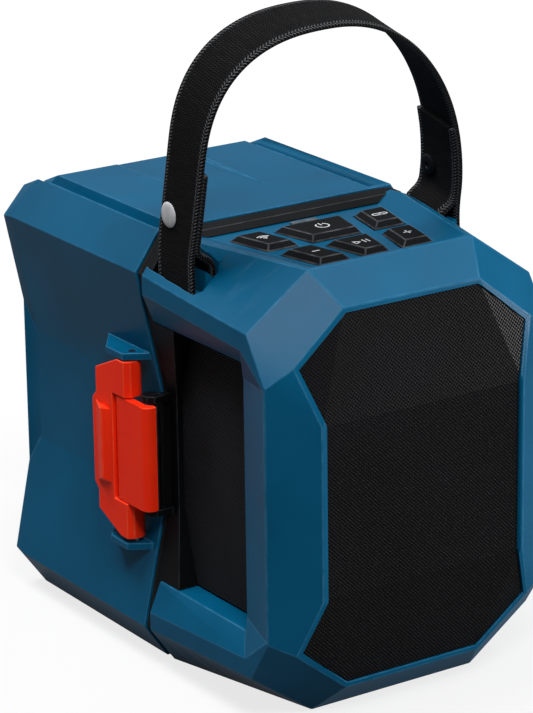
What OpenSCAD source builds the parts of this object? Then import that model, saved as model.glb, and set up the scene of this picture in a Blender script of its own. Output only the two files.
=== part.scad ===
// Portable battery speaker: a faceted head with grille and controls, a hinged battery door
// behind it, a draw latch on the left side and a webbing carrying strap.
// Millimetres. X to the right, Y to the back, Z up; the middle of the middle foot stands at the origin.

/* [Body] */
// Widest width, across the shoulders
body_w = 136; // [130:1:150]
// Height of the shells without the feet
body_h = 183; // [178:1:200]
// Depth of the head, from its front frame to the parting plane
head_depth = 94.5; // [92:0.5:110]
// Depth of the door, from the parting plane to the back
door_depth = 106; // [100:1:125]
// Distance that each shoulder runs in from the side at the parting plane
shoulder_run = 11; // [8:0.5:14]
// Height that the shoulders drop at the parting plane
shoulder_drop = 15.5; // [12:0.5:20]
// Distance that each side is drawn in
waist_in = 11; // [9:0.5:15]
// Height of the straight stretch of the drawn-in sides
waist_h = 48; // [44:1:56]
// Wall of the moulded shells
wall = 3; // [2.4:0.1:3.4]
// Gap between parts that seat in one another
fit_gap = 0.3; // [0.2:0.05:0.5]
// Gap round the parts that move
move_gap = 0.5; // [0.3:0.1:0.8]

/* [Head] */
// Width of the top at its front edge
deck_w = 78.6; // [72:0.2:90]
// Distance that the front slope runs back
slope_run = 15.4; // [12:0.2:20]
// Height that the front bevel drops to the widest line
bevel_drop = 20.5; // [18:0.5:26]
// Width of the front frame at its top and bottom
frame_top_w = 64.6; // [58:0.2:72]
// Height of the front slope
frame_top_drop = 12.9; // [10:0.1:16]
// Distance that the top of the front frame stands back
frame_top_back = 1.4; // [0:0.1:3]
// Width of the front frame at its side corners
frame_side_w = 113.4; // [106:0.2:122]
// Height from the top to the side corners of the front frame
frame_side_drop = 32.4; // [28:0.2:38]
// Width of the middle panel of the front
nose_w = 97; // [90:0.5:104]
// Height of the middle panel of the front
nose_h = 71; // [60:1:80]
// Distance that the middle panel stands forward
nose_out = 7.1; // [4:0.1:10]
// Distance that the side pillars stand back from the front frame
pillar_run = 3; // [2:0.5:6]
// Height from the top to the corner of the side pillars
pillar_drop = 39; // [36:1:44]
// Width of the shell rim around the grille
frame_rim = 2.2; // [1.6:0.1:3]
// Gap between the head shell and the parting plane, where the black frame shows
head_gap = 4.9; // [4:0.1:7]

/* [Side windows] */
// Depth of the sloping frame around the side window
reveal_depth = 5.5; // [4:0.5:7]
// Height of the flat strip beside the window frame
side_strip = 7.5; // [6:0.5:10]
// Distance from the front frame to the window
window_front = 27; // [24:1:34]
// Height from the top to the window
window_drop = 36; // [34:1:42]
// Depth of the mesh behind the widest width
mesh_depth = 14.5; // [13:0.5:16]
// Thickness of the side mesh
mesh_t = 2; // [1.6:0.1:2.6]
// Pitch of the ribs of the side mesh
rib_pitch = 2.2; // [1.8:0.1:3]
// Width of the frame post beside the mesh
post_w = 9.5; // [8:0.5:12]
// Distance that the frame post widens at its ends
post_flare = 9; // [6:0.5:12]

/* [Deck and buttons] */
// Depth of the control deck below the top
deck_depth = 3; // [2.4:0.1:4]
// Width of the deck floor at its front
deck_floor_w = 56; // [54:0.5:62]
// Widening of the deck floor per unit of depth, on each side
deck_fan = 0.22; // [0.16:0.01:0.26]
// Distance from the front frame to the deck floor
deck_front = 21.5; // [20:0.5:24]
// Length of the front and rear button rows
button_len = 20.6; // [18:0.2:21]
// Gap between the two button rows
row_gap = 6.6; // [5:0.2:8]
// Half width of the middle column at the front edge of the rear row
button_mid = 11.8; // [10:0.2:13]
// Gap between the columns
column_gap = 6.6; // [5:0.2:8]
// Width of the outer buttons
button_side = 14.6; // [12:0.2:15]
// Height of the buttons above the deck floor
button_h = 2.7; // [2:0.1:3.5]
// Inset of a button's top face
button_bevel = 2.2; // [1.5:0.1:3]
// Travel of a button
button_travel = 0.8; // [0.5:0.1:1.2]
// Width of the light bar
led_w = 12; // [8:0.5:16]
// Height of the light bar above the deck floor
led_h = 1.7; // [0.4:0.1:3]
// Depth of the black trim behind the deck
trim_run = 11.5; // [10:0.5:14]

/* [Speaker] */
// Diameter of the driver's frame
driver_d = 86; // [76:1:88]
// Depth of the driver behind its flange
driver_depth = 40; // [36:1:46]
// Width by which the driver's magnet is smaller than its frame
magnet_less = 24; // [20:1:30]
// Thickness of the grille
grille_t = 1.4; // [1:0.1:1.8]

/* [Door] */
// Width of each long groove in the door's top
groove_w = 10; // [8:0.5:12]
// Depth of the grooves
groove_depth = 4.5; // [3:0.5:6]
// Rim left closed at the front of the grooves
groove_rim = 3; // [2:0.5:5]
// Depth of the bevel around the back of the door
back_bevel = 7; // [5:0.5:10]
// Depth of the tapered dip in the door's top at the back
dip_depth = 1.8; // [1:0.1:2.4]
// Width of the dip
dip_w = 54; // [44:1:64]
// Length of the dip
dip_len = 56; // [44:1:66]

/* [Hinge] */
// Radius of the hinge barrel
barrel_r = 3.6; // [3:0.1:4]
// Radius of the hinge pin
pin_r = 1.5; // [1.2:0.1:2]
// Running clearance of the pins
pin_gap = 0.06; // [0.04:0.01:0.1]

/* [Latch] */
// Height between the two latch ears
ear_span = 78.9; // [76:0.1:86]
// Distance of the ears' middle below the latch's middle
ear_dip = 0.8; // [0:0.1:2]
// Distance of the latch's middle below the middle of the shells
latch_drop = 1.5; // [0:0.5:3]
// Thickness of the latch ears
ear_t = 3; // [2.4:0.2:4]
// Distance that the ears reach beyond the widest width
ear_out = 2; // [1:0.5:4]
// Distance of the lever pivot behind the parting plane
lever_y = 9.5; // [8.5:0.5:12]
// Length of the lever behind its pivot
lever_len = 20; // [17:0.5:24]
// Height that each arm of the lever loses towards its rear
arm_drop = 7.4; // [6:0.2:12]
// Thickness of the lever plate
lever_t = 4; // [3.4:0.2:5]
// Height of the hook plate
hook_h = 44.6; // [40:0.2:48]
// Length of the hook plate ahead of the parting plane
hook_front = 7.6; // [7:0.2:9]
// Length of the rounded front of the hook plate
hook_round = 3.2; // [2.4:0.2:4]
// Distance of the hook's pin behind the lever's pivot
hook_back = 4.4; // [4:0.2:6]
// Height of the finger grip
grip_h = 35.4; // [28:0.2:40]
// Distance that the finger grip stands out
grip_out = 2.6; // [2:0.2:5]
// Distance that the finger grip reaches behind the lever
grip_rear = 3; // [1:0.5:5]
// Distance of the grip's middle below the latch's middle
grip_dip = 1.3; // [0:0.1:2]

/* [Strap] */
// Width of the webbing
strap_w = 25; // [20:0.5:28]
// Thickness of the webbing
strap_t = 2; // [1.6:0.1:2.4]
// Height of the arch above its swing line
strap_rise = 93; // [70:1:110]
// Forward lean of the arch in degrees
strap_lean = 12; // [0:1:20]
// Sideways shift of the arch's peak
strap_shift = 10; // [0:1:16]
// Height of the straight leg on the left
strap_leg = 42; // [30:1:50]
// Swing of the strap forward, in degrees
swing_front = 15; // [5:1:25]
// Swing of the strap backward, in degrees
swing_back = 35; // [10:1:40]
// Distance of the strap's middle in front of the parting plane
strap_y = 25; // [24:0.5:28]
// Radius of the bar that the webbing loops round
bar_r = 3.5; // [3:0.1:4]
// Diameter of the rivet caps
rivet_d = 10.5; // [8:0.5:12]

/* [Feet] */
// Height that the feet stand proud
foot_proud = 1; // [0.6:0.1:2]
// Width of the feet
foot_w = 56; // [40:1:64]
// Length of the feet
foot_len = 12; // [8:1:16]

/* [Hidden] */
$fn = 48;

// Colours of the finishes
blue = [0.10, 0.30, 0.46];
black = [0.07, 0.07, 0.08];
dark = [0.14, 0.14, 0.15];
red = [0.86, 0.18, 0.09];
steel = [0.72, 0.73, 0.75];
board = [0.05, 0.25, 0.12];
glow = [0.86, 0.88, 0.90];

// Heights of the shells
zb = foot_proud;
zt = zb + body_h;
zm = (zb + zt) / 2;
half_w = body_w / 2;
top_w = body_w - 2 * shoulder_run;
waist_w = body_w - 2 * waist_in;
front_y = -head_depth;
over = 1;
// The modules are drawn with the parting plane at Y = 0 and placed behind the middle foot
foot_margin = 6;
seam_y = head_gap + foot_margin + foot_len / 2;

// Outline helpers: outlines run counter-clockwise, seen from the first ring's side
function flip(list) = [for (i = [len(list) - 1 : -1 : 0]) list[i]];
function mirrored(right) = concat(right, [for (p = flip(right)) [-p.x, p.y]]);
function unit(v) = v / norm(v);
function left_of(v) = [-v.y, v.x];
function inset(pts, t) = [
  for (i = [0 : len(pts) - 1])
    let (
      before = pts[(i + len(pts) - 1) % len(pts)],
      after = pts[(i + 1) % len(pts)],
      n1 = left_of(unit(pts[i] - before)),
      n2 = left_of(unit(after - pts[i]))
    )
    pts[i] + t * (n1 + n2) / (1 + n1 * n2)
];

// A solid through rings of equally many points, with an optional faceted front
module loft(rings, front = undef) {
  n = len(rings[0]);
  m = len(rings);
  sides = [
    for (k = [0 : m - 2], i = [0 : n - 1])
      let (a = k * n + i, b = k * n + (i + 1) % n, c = b + n, d = a + n)
        each (i % (n / 2) < n / 4 ? [[a, b, c], [a, c, d]] : [[a, b, d], [b, c, d]])
  ];
  first = is_undef(front) ? [[for (i = [n - 1 : -1 : 0]) i]] : front;
  last = [[for (i = [0 : n - 1]) (m - 1) * n + i]];
  polyhedron([for (r = rings) each r], concat(first, sides, last));
}

// An outline in X and Z, drawn from y0 to y1
module along_y(y0, y1) {
  translate([0, y1, 0]) rotate([90, 0, 0]) linear_extrude(y1 - y0) children();
}

// An outline in Y and Z, drawn from x0 to x1
module along_x(x0, x1) {
  translate([x0, 0, 0]) rotate([90, 0, 90]) linear_extrude(x1 - x0) children();
}

// A cylinder along Y or X from one place to another
module rod_y(r, x, z, y0, y1) {
  translate([x, y1, z]) rotate([90, 0, 0]) cylinder(r = r, h = y1 - y0);
}
module rod_x(r, y, z, x0, x1) {
  translate([x0, y, z]) rotate([0, 90, 0]) cylinder(r = r, h = x1 - x0);
}
module rod_z(r, x, y, z0, z1) {
  translate([x, y, z0]) cylinder(r = r, h = z1 - z0);
}
module block(low, high) {
  translate(low) cube(high - low);
}
module both_sides() {
  children();
  mirror([1, 0, 0]) children();
}

// Outline of the parting plane: flat top and bottom, shoulders, drawn-in sides
seam_right = [
  [top_w / 2, zb], [half_w, zb + shoulder_drop], [waist_w / 2, zm - waist_h / 2],
  [waist_w / 2, zm + waist_h / 2], [half_w, zt - shoulder_drop], [top_w / 2, zt]
];
seam = mirrored(seam_right);

// Rings of the head: the front frame, the bevel and pillars, and the rear edge
frame_right = [
  [frame_top_w / 2, zb + frame_top_drop], [frame_side_w / 2, zb + frame_side_drop],
  [nose_w / 2, zm - nose_h / 2], [nose_w / 2, zm + nose_h / 2],
  [frame_side_w / 2, zt - frame_side_drop], [frame_top_w / 2, zt - frame_top_drop]
];
frame_back = [frame_top_back, 0, -nose_out, -nose_out, 0, frame_top_back];
bevel_right = [
  [deck_w / 2, zb], [half_w, zb + bevel_drop], [half_w, zb + pillar_drop],
  [half_w, zt - pillar_drop], [half_w, zt - bevel_drop], [deck_w / 2, zt]
];
bevel_back = [slope_run, slope_run, pillar_run, pillar_run, slope_run, slope_run];
rear_right = [
  [top_w / 2, zb], [half_w, zb + shoulder_drop], [half_w, zb + pillar_drop],
  [half_w, zt - pillar_drop], [half_w, zt - shoulder_drop], [top_w / 2, zt]
];
frame_flat = mirrored(frame_right);
shoulder_steps = 6;
function lifted(flat, backs, y) =
  let (both = concat(backs, flip(backs)))
  [for (i = [0 : len(flat) - 1]) [flat[i].x, y + both[i], flat[i].y]];
function level(flat, y) = [for (p = flat) [p.x, y, p.y]];
function between(a, b, share) = [for (i = [0 : len(a) - 1]) a[i] + (b[i] - a[i]) * share];
function head_rings(t, rear_y) =
  let (
    bevel = lifted(inset(mirrored(bevel_right), t), bevel_back, front_y + t),
    rear = level(inset(mirrored(rear_right), t), rear_y)
  )
  concat(
    [lifted(inset(frame_flat, t), frame_back, front_y + t)],
    [for (k = [0 : shoulder_steps]) between(bevel, rear, k / shoulder_steps)]
  );

// Facets of the front: upper, middle and lower panels and four corner triangles
front_facets = [
  [8, 6, 5, 3], [5, 4, 3], [8, 7, 6], [9, 8, 3, 2], [2, 1, 0], [11, 9, 2, 0], [11, 10, 9]
];

// Control deck: floor outline, buttons and their columns
floor_z = zt - deck_depth;
deck_y = front_y + deck_front;
function floor_half(y) = deck_floor_w / 2 + deck_fan * (y - deck_y);
function ridge_half(y) =
  deck_w / 2 + (top_w - deck_w) / 2 * (y - front_y - slope_run) / (head_depth - head_gap - slope_run);
crest = 2;
crest_run = 4;
row_front = [deck_y + 3, deck_y + 3 + button_len + row_gap];
column_edges = [
  [-button_mid - column_gap - button_side, -button_mid - column_gap],
  [-button_mid, button_mid],
  [button_mid + column_gap, button_mid + column_gap + button_side]
];
function edge_x(x, y) = x + sign(x) * deck_fan * (y - row_front[1]);
function key_outline(column, row) =
  let (
    y0 = row_front[row],
    y1 = y0 + button_len,
    x = column_edges[column]
  )
  [[edge_x(x[0], y0), y0], [edge_x(x[1], y0), y0], [edge_x(x[1], y1), y1], [edge_x(x[0], y1), y1]];
deck_skin = wall;
switch_h = 3.4;
board_t = 1.6;
board_post_r = 2;
board_top = floor_z - deck_skin - button_travel - switch_h;
board_front = row_front[0] - 1;
board_rear = row_front[1] + button_len + 1;
board_half = edge_x(column_edges[2][1], board_front);
led_len = 3;

// Inside of the head
cavity_half = half_w - mesh_depth - mesh_t - 1.5;
cavity_top = floor_z - deck_skin;
cavity_low = zb + wall;

// Side windows and posts
window_z0 = zb + window_drop;
window_z1 = zt - window_drop;
window_y = front_y + window_front;
mesh_x = half_w - mesh_depth;
post_y = -post_w;
frame_inset = 1.2;

// Black frame between the head and the door
plate_front = -head_gap + fit_gap;
gasket_t = 1.2;
plate_rear = -gasket_t - fit_gap;

// Strap pockets and bars
lip_t = 2.6;
pocket_out = half_w - lip_t;
pocket_half = strap_w / 2 + 4.5;
pocket_corner = 3.7;
bar_seat = 2;
loop_r = bar_r + fit_gap + strap_t / 2;
strap_x = pocket_out - fit_gap - strap_t / 2;
bar_x = strap_x - loop_r;
bar_z = zt - 19;
bar_rise = 9;
pocket_in = bar_x - loop_r - strap_t / 2 - fit_gap;
pocket_floor = bar_z - loop_r - strap_t;
swing_z = zt - 2;
swing_x = strap_x - 3 * strap_t / 2 - move_gap;

// Hinge
hinge_x = half_w;
knuckle_h = waist_h / 4;

// Latch
ear_low = ear_span / 2 + ear_dip;
ear_high = ear_span / 2 - ear_dip;
pivot_x = half_w - 3.5;
hook_half = hook_h / 2;
lever_out = half_w + ear_out + 0.2;
arm_z0 = hook_half + move_gap;
arm_z1 = ear_high - move_gap;
lever_barrel = pin_r + 1.9;
hook_pin_r = 1.2;
hook_barrel = hook_pin_r + 1.4;
hook_x = lever_out - lever_t / 2 - 1.2;
hook_y = lever_y + hook_back;
slot_y = hook_y + hook_barrel + move_gap;
zl = zm - latch_drop;
keeper_r = 1.5;
keeper_x = half_w - 6.5;
keeper_y = -hook_front + 4.6;
lug_t = 3;

// Screws
screw_r = 1.5;
screw_head_r = 2.8;
boss_r = 4;
screw_x = cavity_half - boss_r + over;
screw_z = [cavity_low + boss_r - over, window_z1 + boss_r + over];
boss_depth = 14;

module deck_hollow(gap = 0) {
  rear = over;
  top_y = deck_y - crest_run + gap;
  loft([
    [for (p = [[-1, 0], [1, 0], [1, 1], [-1, 1]])
      let (y = p.y == 0 ? top_y : rear) [p.x * (ridge_half(y) - crest - gap), y, zt + over]],
    [for (p = [[-1, 0], [1, 0], [1, 1], [-1, 1]])
      let (y = p.y == 0 ? top_y : rear) [p.x * (ridge_half(y) - crest - gap), y, zt]],
    [for (p = [[-1, 0], [1, 0], [1, 1], [-1, 1]])
      let (y = p.y == 0 ? deck_y + gap : rear) [p.x * (floor_half(y) - gap), y, floor_z + gap]]
  ]);
}

module side_notch() {
  outer = [
    [front_y + slope_run + 4, zb + bevel_drop + side_strip], [over, zb + shoulder_drop + side_strip],
    [over, zt - shoulder_drop - side_strip], [front_y + slope_run + 4, zt - bevel_drop - side_strip],
    [front_y + pillar_run + 1, zt - pillar_drop - 1], [front_y + pillar_run + 1, zb + pillar_drop + 1]
  ];
  inner = [
    [window_y, window_z0], [over, window_z0], [over, window_z1], [window_y, window_z1],
    [window_y - 1, window_z1 - 6], [window_y - 1, window_z0 + 6]
  ];
  function at(x, pts) = [for (p = pts) [x, p.x, p.y]];
  loft([
    at(half_w + over, outer), at(half_w, outer), at(half_w - reveal_depth, inner),
    at(cavity_half - over, inner)
  ]);
}

module pocket(grow = 0, back = pocket_half) {
  inner = pocket_in - grow;
  outer = pocket_out + grow;
  front = -pocket_half - grow;
  translate([0, -strap_y, pocket_floor - grow]) linear_extrude(zt - pocket_floor + over + grow)
    polygon([
      [inner, front + pocket_corner], [inner + 0.7 * pocket_corner, front],
      [outer - 0.7 * pocket_corner, front], [outer, front + pocket_corner], [outer, back + grow],
      [inner, back + grow]
    ]);
}

module grille_opening(t, y0, y1) {
  along_y(y0, y1) polygon(inset(frame_flat, t));
}

module front_housing() {
  color(blue) difference() {
    union() {
      difference() {
        loft(head_rings(0, -head_gap), front_facets);
        intersection() {
          loft(head_rings(wall, over), front_facets);
          block([-cavity_half, front_y - nose_out, cavity_low], [cavity_half, over + over, cavity_top]);
        }
      }
      intersection() {
        loft(head_rings(0, -head_gap), front_facets);
        both_sides() pocket(wall);
      }
      both_sides() for (z = screw_z) rod_y(boss_r, screw_x, z, -head_gap - boss_depth, -head_gap);
    }
    grille_opening(frame_rim, front_y - nose_out - over, front_y + slope_run);
    both_sides() side_notch();
    deck_hollow();
    both_sides() pocket(0, strap_y + over);
    both_sides() rod_y(bar_r + pin_gap, bar_x, bar_z, -strap_y - pocket_half - bar_seat, -strap_y);
    both_sides() for (z = screw_z) rod_y(screw_r, screw_x, z, -head_gap - boss_depth + 2, over);
    for (c = [0 : 2], r = [0 : 1]) translate([0, 0, cavity_top - over]) linear_extrude(deck_skin + 2 * over)
      polygon(inset(key_outline(c, r), -move_gap));
    block([-led_w / 2 - fit_gap, board_rear - fit_gap, cavity_top - over],
      [led_w / 2 + fit_gap, board_rear + led_len + fit_gap, zt]);
    foot_seat(front_y + slope_run + 3);
    foot_seat(-head_gap - foot_margin - foot_len);
  }
}

foot_sink = 1;
module foot_seat(y) {
  block([-foot_w / 2 - fit_gap, y - fit_gap, zb - over],
    [foot_w / 2 + fit_gap, y + foot_len + fit_gap, zb + foot_sink]);
}
module foot(y) {
  color(dark) translate([0, y + foot_len / 2, 0]) linear_extrude(foot_proud + foot_sink)
    polygon([
      [-foot_w / 2, -foot_len / 2 + 2], [-foot_w / 2 + 2, -foot_len / 2], [foot_w / 2 - 2, -foot_len / 2],
      [foot_w / 2, -foot_len / 2 + 2], [foot_w / 2, foot_len / 2], [-foot_w / 2, foot_len / 2]
    ]);
}
module front_foot() { foot(front_y + slope_run + 3); }
module middle_foot() { foot(-head_gap - foot_margin - foot_len); }
module door_foot() { foot(door_depth - back_bevel - 14 - foot_len); }

grille_gap = fit_gap;
grille_drop = 0.6;
module front_grille() {
  color(black) intersection() {
    difference() {
      loft(head_rings(grille_drop, over), front_facets);
      loft(head_rings(grille_drop + grille_t, over + over), front_facets);
    }
    grille_opening(frame_rim + grille_gap, front_y - nose_out - over, front_y + slope_run);
  }
}

baffle_t = 4;
baffle_y = front_y + 6;
baffle_half = cavity_half - fit_gap;
module speaker_baffle() {
  color(dark) difference() {
    along_y(baffle_y, baffle_y + baffle_t) intersection() {
      polygon(inset(frame_flat, frame_rim + fit_gap));
      translate([-baffle_half, zb]) square([2 * baffle_half, body_h]);
    }
    rod_y(driver_d / 2 - 5, 0, zm, baffle_y - over, baffle_y + baffle_t + over);
  }
}

flange_t = 2;
magnet_d = driver_d - magnet_less;
module driver_basket() {
  y0 = baffle_y + baffle_t;
  color(dark) difference() {
    translate([0, y0, zm]) rotate([-90, 0, 0]) rotate_extrude() polygon([
      [driver_d / 2 - 6, 0], [driver_d / 2, 0], [driver_d / 2, flange_t], [driver_d / 2 - 3, flange_t],
      [magnet_d / 2 - 4, driver_depth * 0.55], [magnet_d / 2 - 4, driver_depth * 0.6],
      [6, driver_depth * 0.6], [6, driver_depth * 0.55], [magnet_d / 2 - 8, driver_depth * 0.5]
    ]);
    for (a = [0 : 60 : 300]) translate([0, y0 + driver_depth * 0.3, zm]) rotate([0, a, 0])
      block([magnet_d / 4, -driver_depth * 0.14, -6], [driver_d / 2, driver_depth * 0.14, 6]);
  }
}

module driver_magnet() {
  y0 = baffle_y + baffle_t + driver_depth * 0.6;
  color(steel) difference() {
    rod_y(magnet_d / 2, 0, zm, y0, y0 + driver_depth * 0.4);
    rod_y(5, 0, zm, y0 - over, y0 + driver_depth * 0.2);
  }
}

cone_t = 0.8;
module driver_cone() {
  y0 = baffle_y + baffle_t - 1;
  color(black) translate([0, y0, zm]) rotate([-90, 0, 0]) rotate_extrude() polygon([
    [0, driver_depth * 0.3], [12, driver_depth * 0.36], [driver_d / 2 - 13, 0], [driver_d / 2 - 12, 0],
    [driver_d / 2 - 12, cone_t], [12, driver_depth * 0.36 + cone_t * 1.5], [4.5, driver_depth * 0.42],
    [4.5, driver_depth * 0.6], [0, driver_depth * 0.6]
  ]);
}

module driver_surround() {
  y0 = baffle_y + baffle_t - 1;
  roll = 3.4;
  color(dark) translate([0, y0, zm]) rotate([-90, 0, 0]) rotate_extrude() translate([driver_d / 2 - 8.5, 0])
    difference() {
      circle(roll);
      circle(roll - 0.9);
      translate([-roll - over, 0]) square([2 * roll + 2 * over, roll + over]);
    }
}

mesh_post_gap = fit_gap;
module side_mesh() {
  y0 = window_y - 1 + fit_gap;
  y1 = post_y - mesh_post_gap;
  ribs = floor((window_z1 - window_z0 - 2 * fit_gap) / rib_pitch);
  z0 = zm - ribs * rib_pitch / 2;
  comb = [
    for (i = [0 : ribs - 1])
      each [[mesh_x, z0 + i * rib_pitch], [mesh_x, z0 + (i + 0.55) * rib_pitch],
        [mesh_x - 0.7, z0 + (i + 0.55) * rib_pitch], [mesh_x - 0.7, z0 + (i + 1) * rib_pitch]]
  ];
  color(black) intersection() {
    along_y(y0, y1)
      polygon(concat(comb, [[mesh_x - mesh_t, z0 + ribs * rib_pitch], [mesh_x - mesh_t, z0]]));
    along_x(0, half_w) polygon([
      [y0 - over, window_z0], [y1 - post_flare, window_z0], [y1, zm - waist_h / 2], [y1, zm + waist_h / 2],
      [y1 - post_flare, window_z1], [y0 - over, window_z1]
    ]);
  }
}
module side_mesh_right() { side_mesh(); }
module side_mesh_left() { mirror([1, 0, 0]) side_mesh(); }

radiator_t = 5;
module passive_radiator() {
  x1 = cavity_half - fit_gap;
  y0 = window_y - 4;
  y1 = post_y - post_flare - over;
  z_half = (window_z1 - window_z0) / 2;
  ry = (y1 - y0) / 2;
  color(dark) translate([0, (y0 + y1) / 2, zm]) {
    difference() {
      block([x1 - radiator_t, -ry, -z_half], [x1, ry, z_half]);
      block([x1 - 1.2, -ry + 5, -z_half + 5], [x1 + over, ry - 5, z_half - 5]);
      block([x1 - radiator_t - over, -ry + 5, -z_half + 5], [x1 - 3, ry - 5, z_half - 5]);
    }
  }
}
module passive_radiator_right() { passive_radiator(); }
module passive_radiator_left() { mirror([1, 0, 0]) passive_radiator(); }

module frame_post() {
  intersection() {
    along_y(front_y, plate_rear) polygon(concat(
      [for (p = inset(seam, frame_inset)) if (p.x > 0) p],
      [[cavity_half - 3, zt], [cavity_half - 3, zb]]
    ));
    along_x(0, half_w) polygon([
      [post_y - post_flare, window_z0 + fit_gap], [plate_rear, window_z0 + fit_gap],
      [plate_rear, window_z1 - fit_gap], [post_y - post_flare, window_z1 - fit_gap],
      [post_y, zm + waist_h / 2], [post_y, zm - waist_h / 2]
    ]);
  }
}

// Corner that closes the rear of a strap pocket
module frame_corner() {
  rear = -strap_y + pocket_half;
  difference() {
    intersection() {
      along_y(rear, plate_front + over) polygon(inset(seam, frame_inset));
      block([pocket_in + fit_gap, rear - over, pocket_floor + fit_gap], [pocket_out - fit_gap, 0, zt]);
    }
    rod_y(bar_r + pin_gap, bar_x, bar_z, rear - over, rear + bar_seat);
  }
}

module mid_frame() {
  color(black) difference() {
    union() {
      along_y(plate_front, plate_rear) polygon(inset(seam, frame_inset));
      both_sides() frame_post();
      both_sides() frame_corner();
      for (s = [-1, 1]) translate([0, 0, zl + s * (arm_z0 + lug_t / 2)]) keeper_lug();
      keeper_wall();
      rod_z(barrel_r, hinge_x, 0, zm - knuckle_h, zm + knuckle_h);
      block([waist_w / 2 - 4, plate_front, zm - knuckle_h], [hinge_x, plate_rear, zm + knuckle_h]);
    }
    deck_hollow();
    rod_z(pin_r + pin_gap, hinge_x, 0, zm - knuckle_h - over, zm + knuckle_h + over);
    rod_z(keeper_r, -keeper_x, keeper_y, zl - arm_z0 - lug_t - over, zl + arm_z0 + lug_t + over);
    both_sides() for (z = screw_z) {
      rod_y(screw_r + 0.2, screw_x, z, -head_gap - over, over);
      rod_y(screw_head_r + 0.2, screw_x, z, plate_rear - 1.6, over);
    }
  }
}

module keeper_lug() {
  translate([0, 0, -lug_t / 2]) linear_extrude(lug_t) polygon([
    [-waist_w / 2 + 4, keeper_y - 2.2], [-waist_w / 2 + 4, plate_rear], [-waist_w / 2 - 1.5, plate_rear],
    [-keeper_x + 1, keeper_y + 5], [-keeper_x - 2.2, keeper_y + 5.4], [-keeper_x - 4.6, keeper_y + 4.2],
    [-keeper_x - 5.3, keeper_y + 2], [-keeper_x - 4.6, keeper_y - 0.4], [-keeper_x - 2.2, keeper_y - 2.5],
    [-keeper_x + 1, keeper_y - 2.8]
  ]);
}
// Black wall between the lugs, which covers the door's edge behind the hook
module keeper_wall() {
  inner = waist_w / 2 + fit_gap + 0.1;
  translate([0, 0, zl - arm_z0 - lug_t / 2]) linear_extrude(2 * arm_z0 + lug_t) polygon([
    [-waist_w / 2 + 4, keeper_y - 1], [-waist_w / 2 + 4, plate_rear], [-inner, plate_rear],
    [-inner, keeper_y + 6], [-inner - 1.2, keeper_y + 6], [-inner - 1.6, keeper_y - 1]
  ]);
}
module keeper_bar() {
  color(steel) rod_z(keeper_r, -keeper_x, keeper_y, zl - arm_z0 - lug_t, zl + arm_z0 + lug_t);
}

trim_edge = 5;
module deck_trim() {
  y1 = plate_rear + fit_gap;
  y0 = y1 - trim_run;
  color(dark) intersection() {
    deck_hollow(fit_gap);
    along_x(-half_w, half_w) polygon([
      [y0, zb], [y1, zb], [y1, zt - 0.4], [y0 + trim_edge, zt - 1.1], [y0, floor_z + 0.5]
    ]);
  }
}

module control_board() {
  color(board) union() {
    translate([0, 0, board_top - board_t]) linear_extrude(board_t) polygon([
      [-board_half, board_front], [board_half, board_front], [board_half + 6, board_rear],
      [-board_half - 6, board_rear]
    ]);
    for (c = [0 : 2], r = [0 : 1]) {
      mid = (key_outline(c, r)[0] + key_outline(c, r)[2]) / 2;
      translate([mid.x - 3, mid.y - 3, board_top]) cube([6, 6, switch_h - fit_gap]);
    }
    for (side = [-1, 1], r = [0 : 1]) {
      y = row_front[r] + button_len / 2;
      rod_z(board_post_r, side * edge_x(button_mid + column_gap / 2, y), y, board_top, cavity_top);
    }
  }
}

module led_lens() {
  color(glow) block([-led_w / 2, board_rear, cavity_top], [led_w / 2, board_rear + led_len, floor_z + led_h]);
}

module button(column, row) {
  base = key_outline(column, row);
  top = inset(base, button_bevel);
  z0 = floor_z + fit_gap;
  z1 = floor_z + button_h;
  color(dark) union() {
    translate([0, 0, cavity_top]) linear_extrude(z0 - cavity_top) polygon(base);
    loft([[for (p = top) [p.x, p.y, z1]], [for (p = base) [p.x, p.y, z0]]]);
  }
}
module button_pair() { button(0, 1); }
module button_power() { button(1, 1); }
module button_link() { button(2, 1); }
module button_minus() { button(0, 0); }
module button_play() { button(1, 0); }
module button_plus() { button(2, 0); }

main_board_z = cavity_low + 8;
main_board_half = cavity_half - 18;
main_board_len = 34;
module main_board() {
  y0 = plate_front - main_board_len;
  post_x = main_board_half - 6;
  color(board) union() {
    block([-main_board_half, y0, main_board_z], [main_board_half, plate_front, main_board_z + board_t]);
    for (x = [-post_x, post_x], y = [y0 + 4, plate_front - 6]) rod_z(3, x, y, cavity_low, main_board_z);
    block([-24, y0 + 6, main_board_z + board_t], [-8, y0 + 22, main_board_z + board_t + 6]);
    block([4, y0 + 8, main_board_z + board_t], [18, y0 + 20, main_board_z + board_t + 3]);
  }
}

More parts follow.
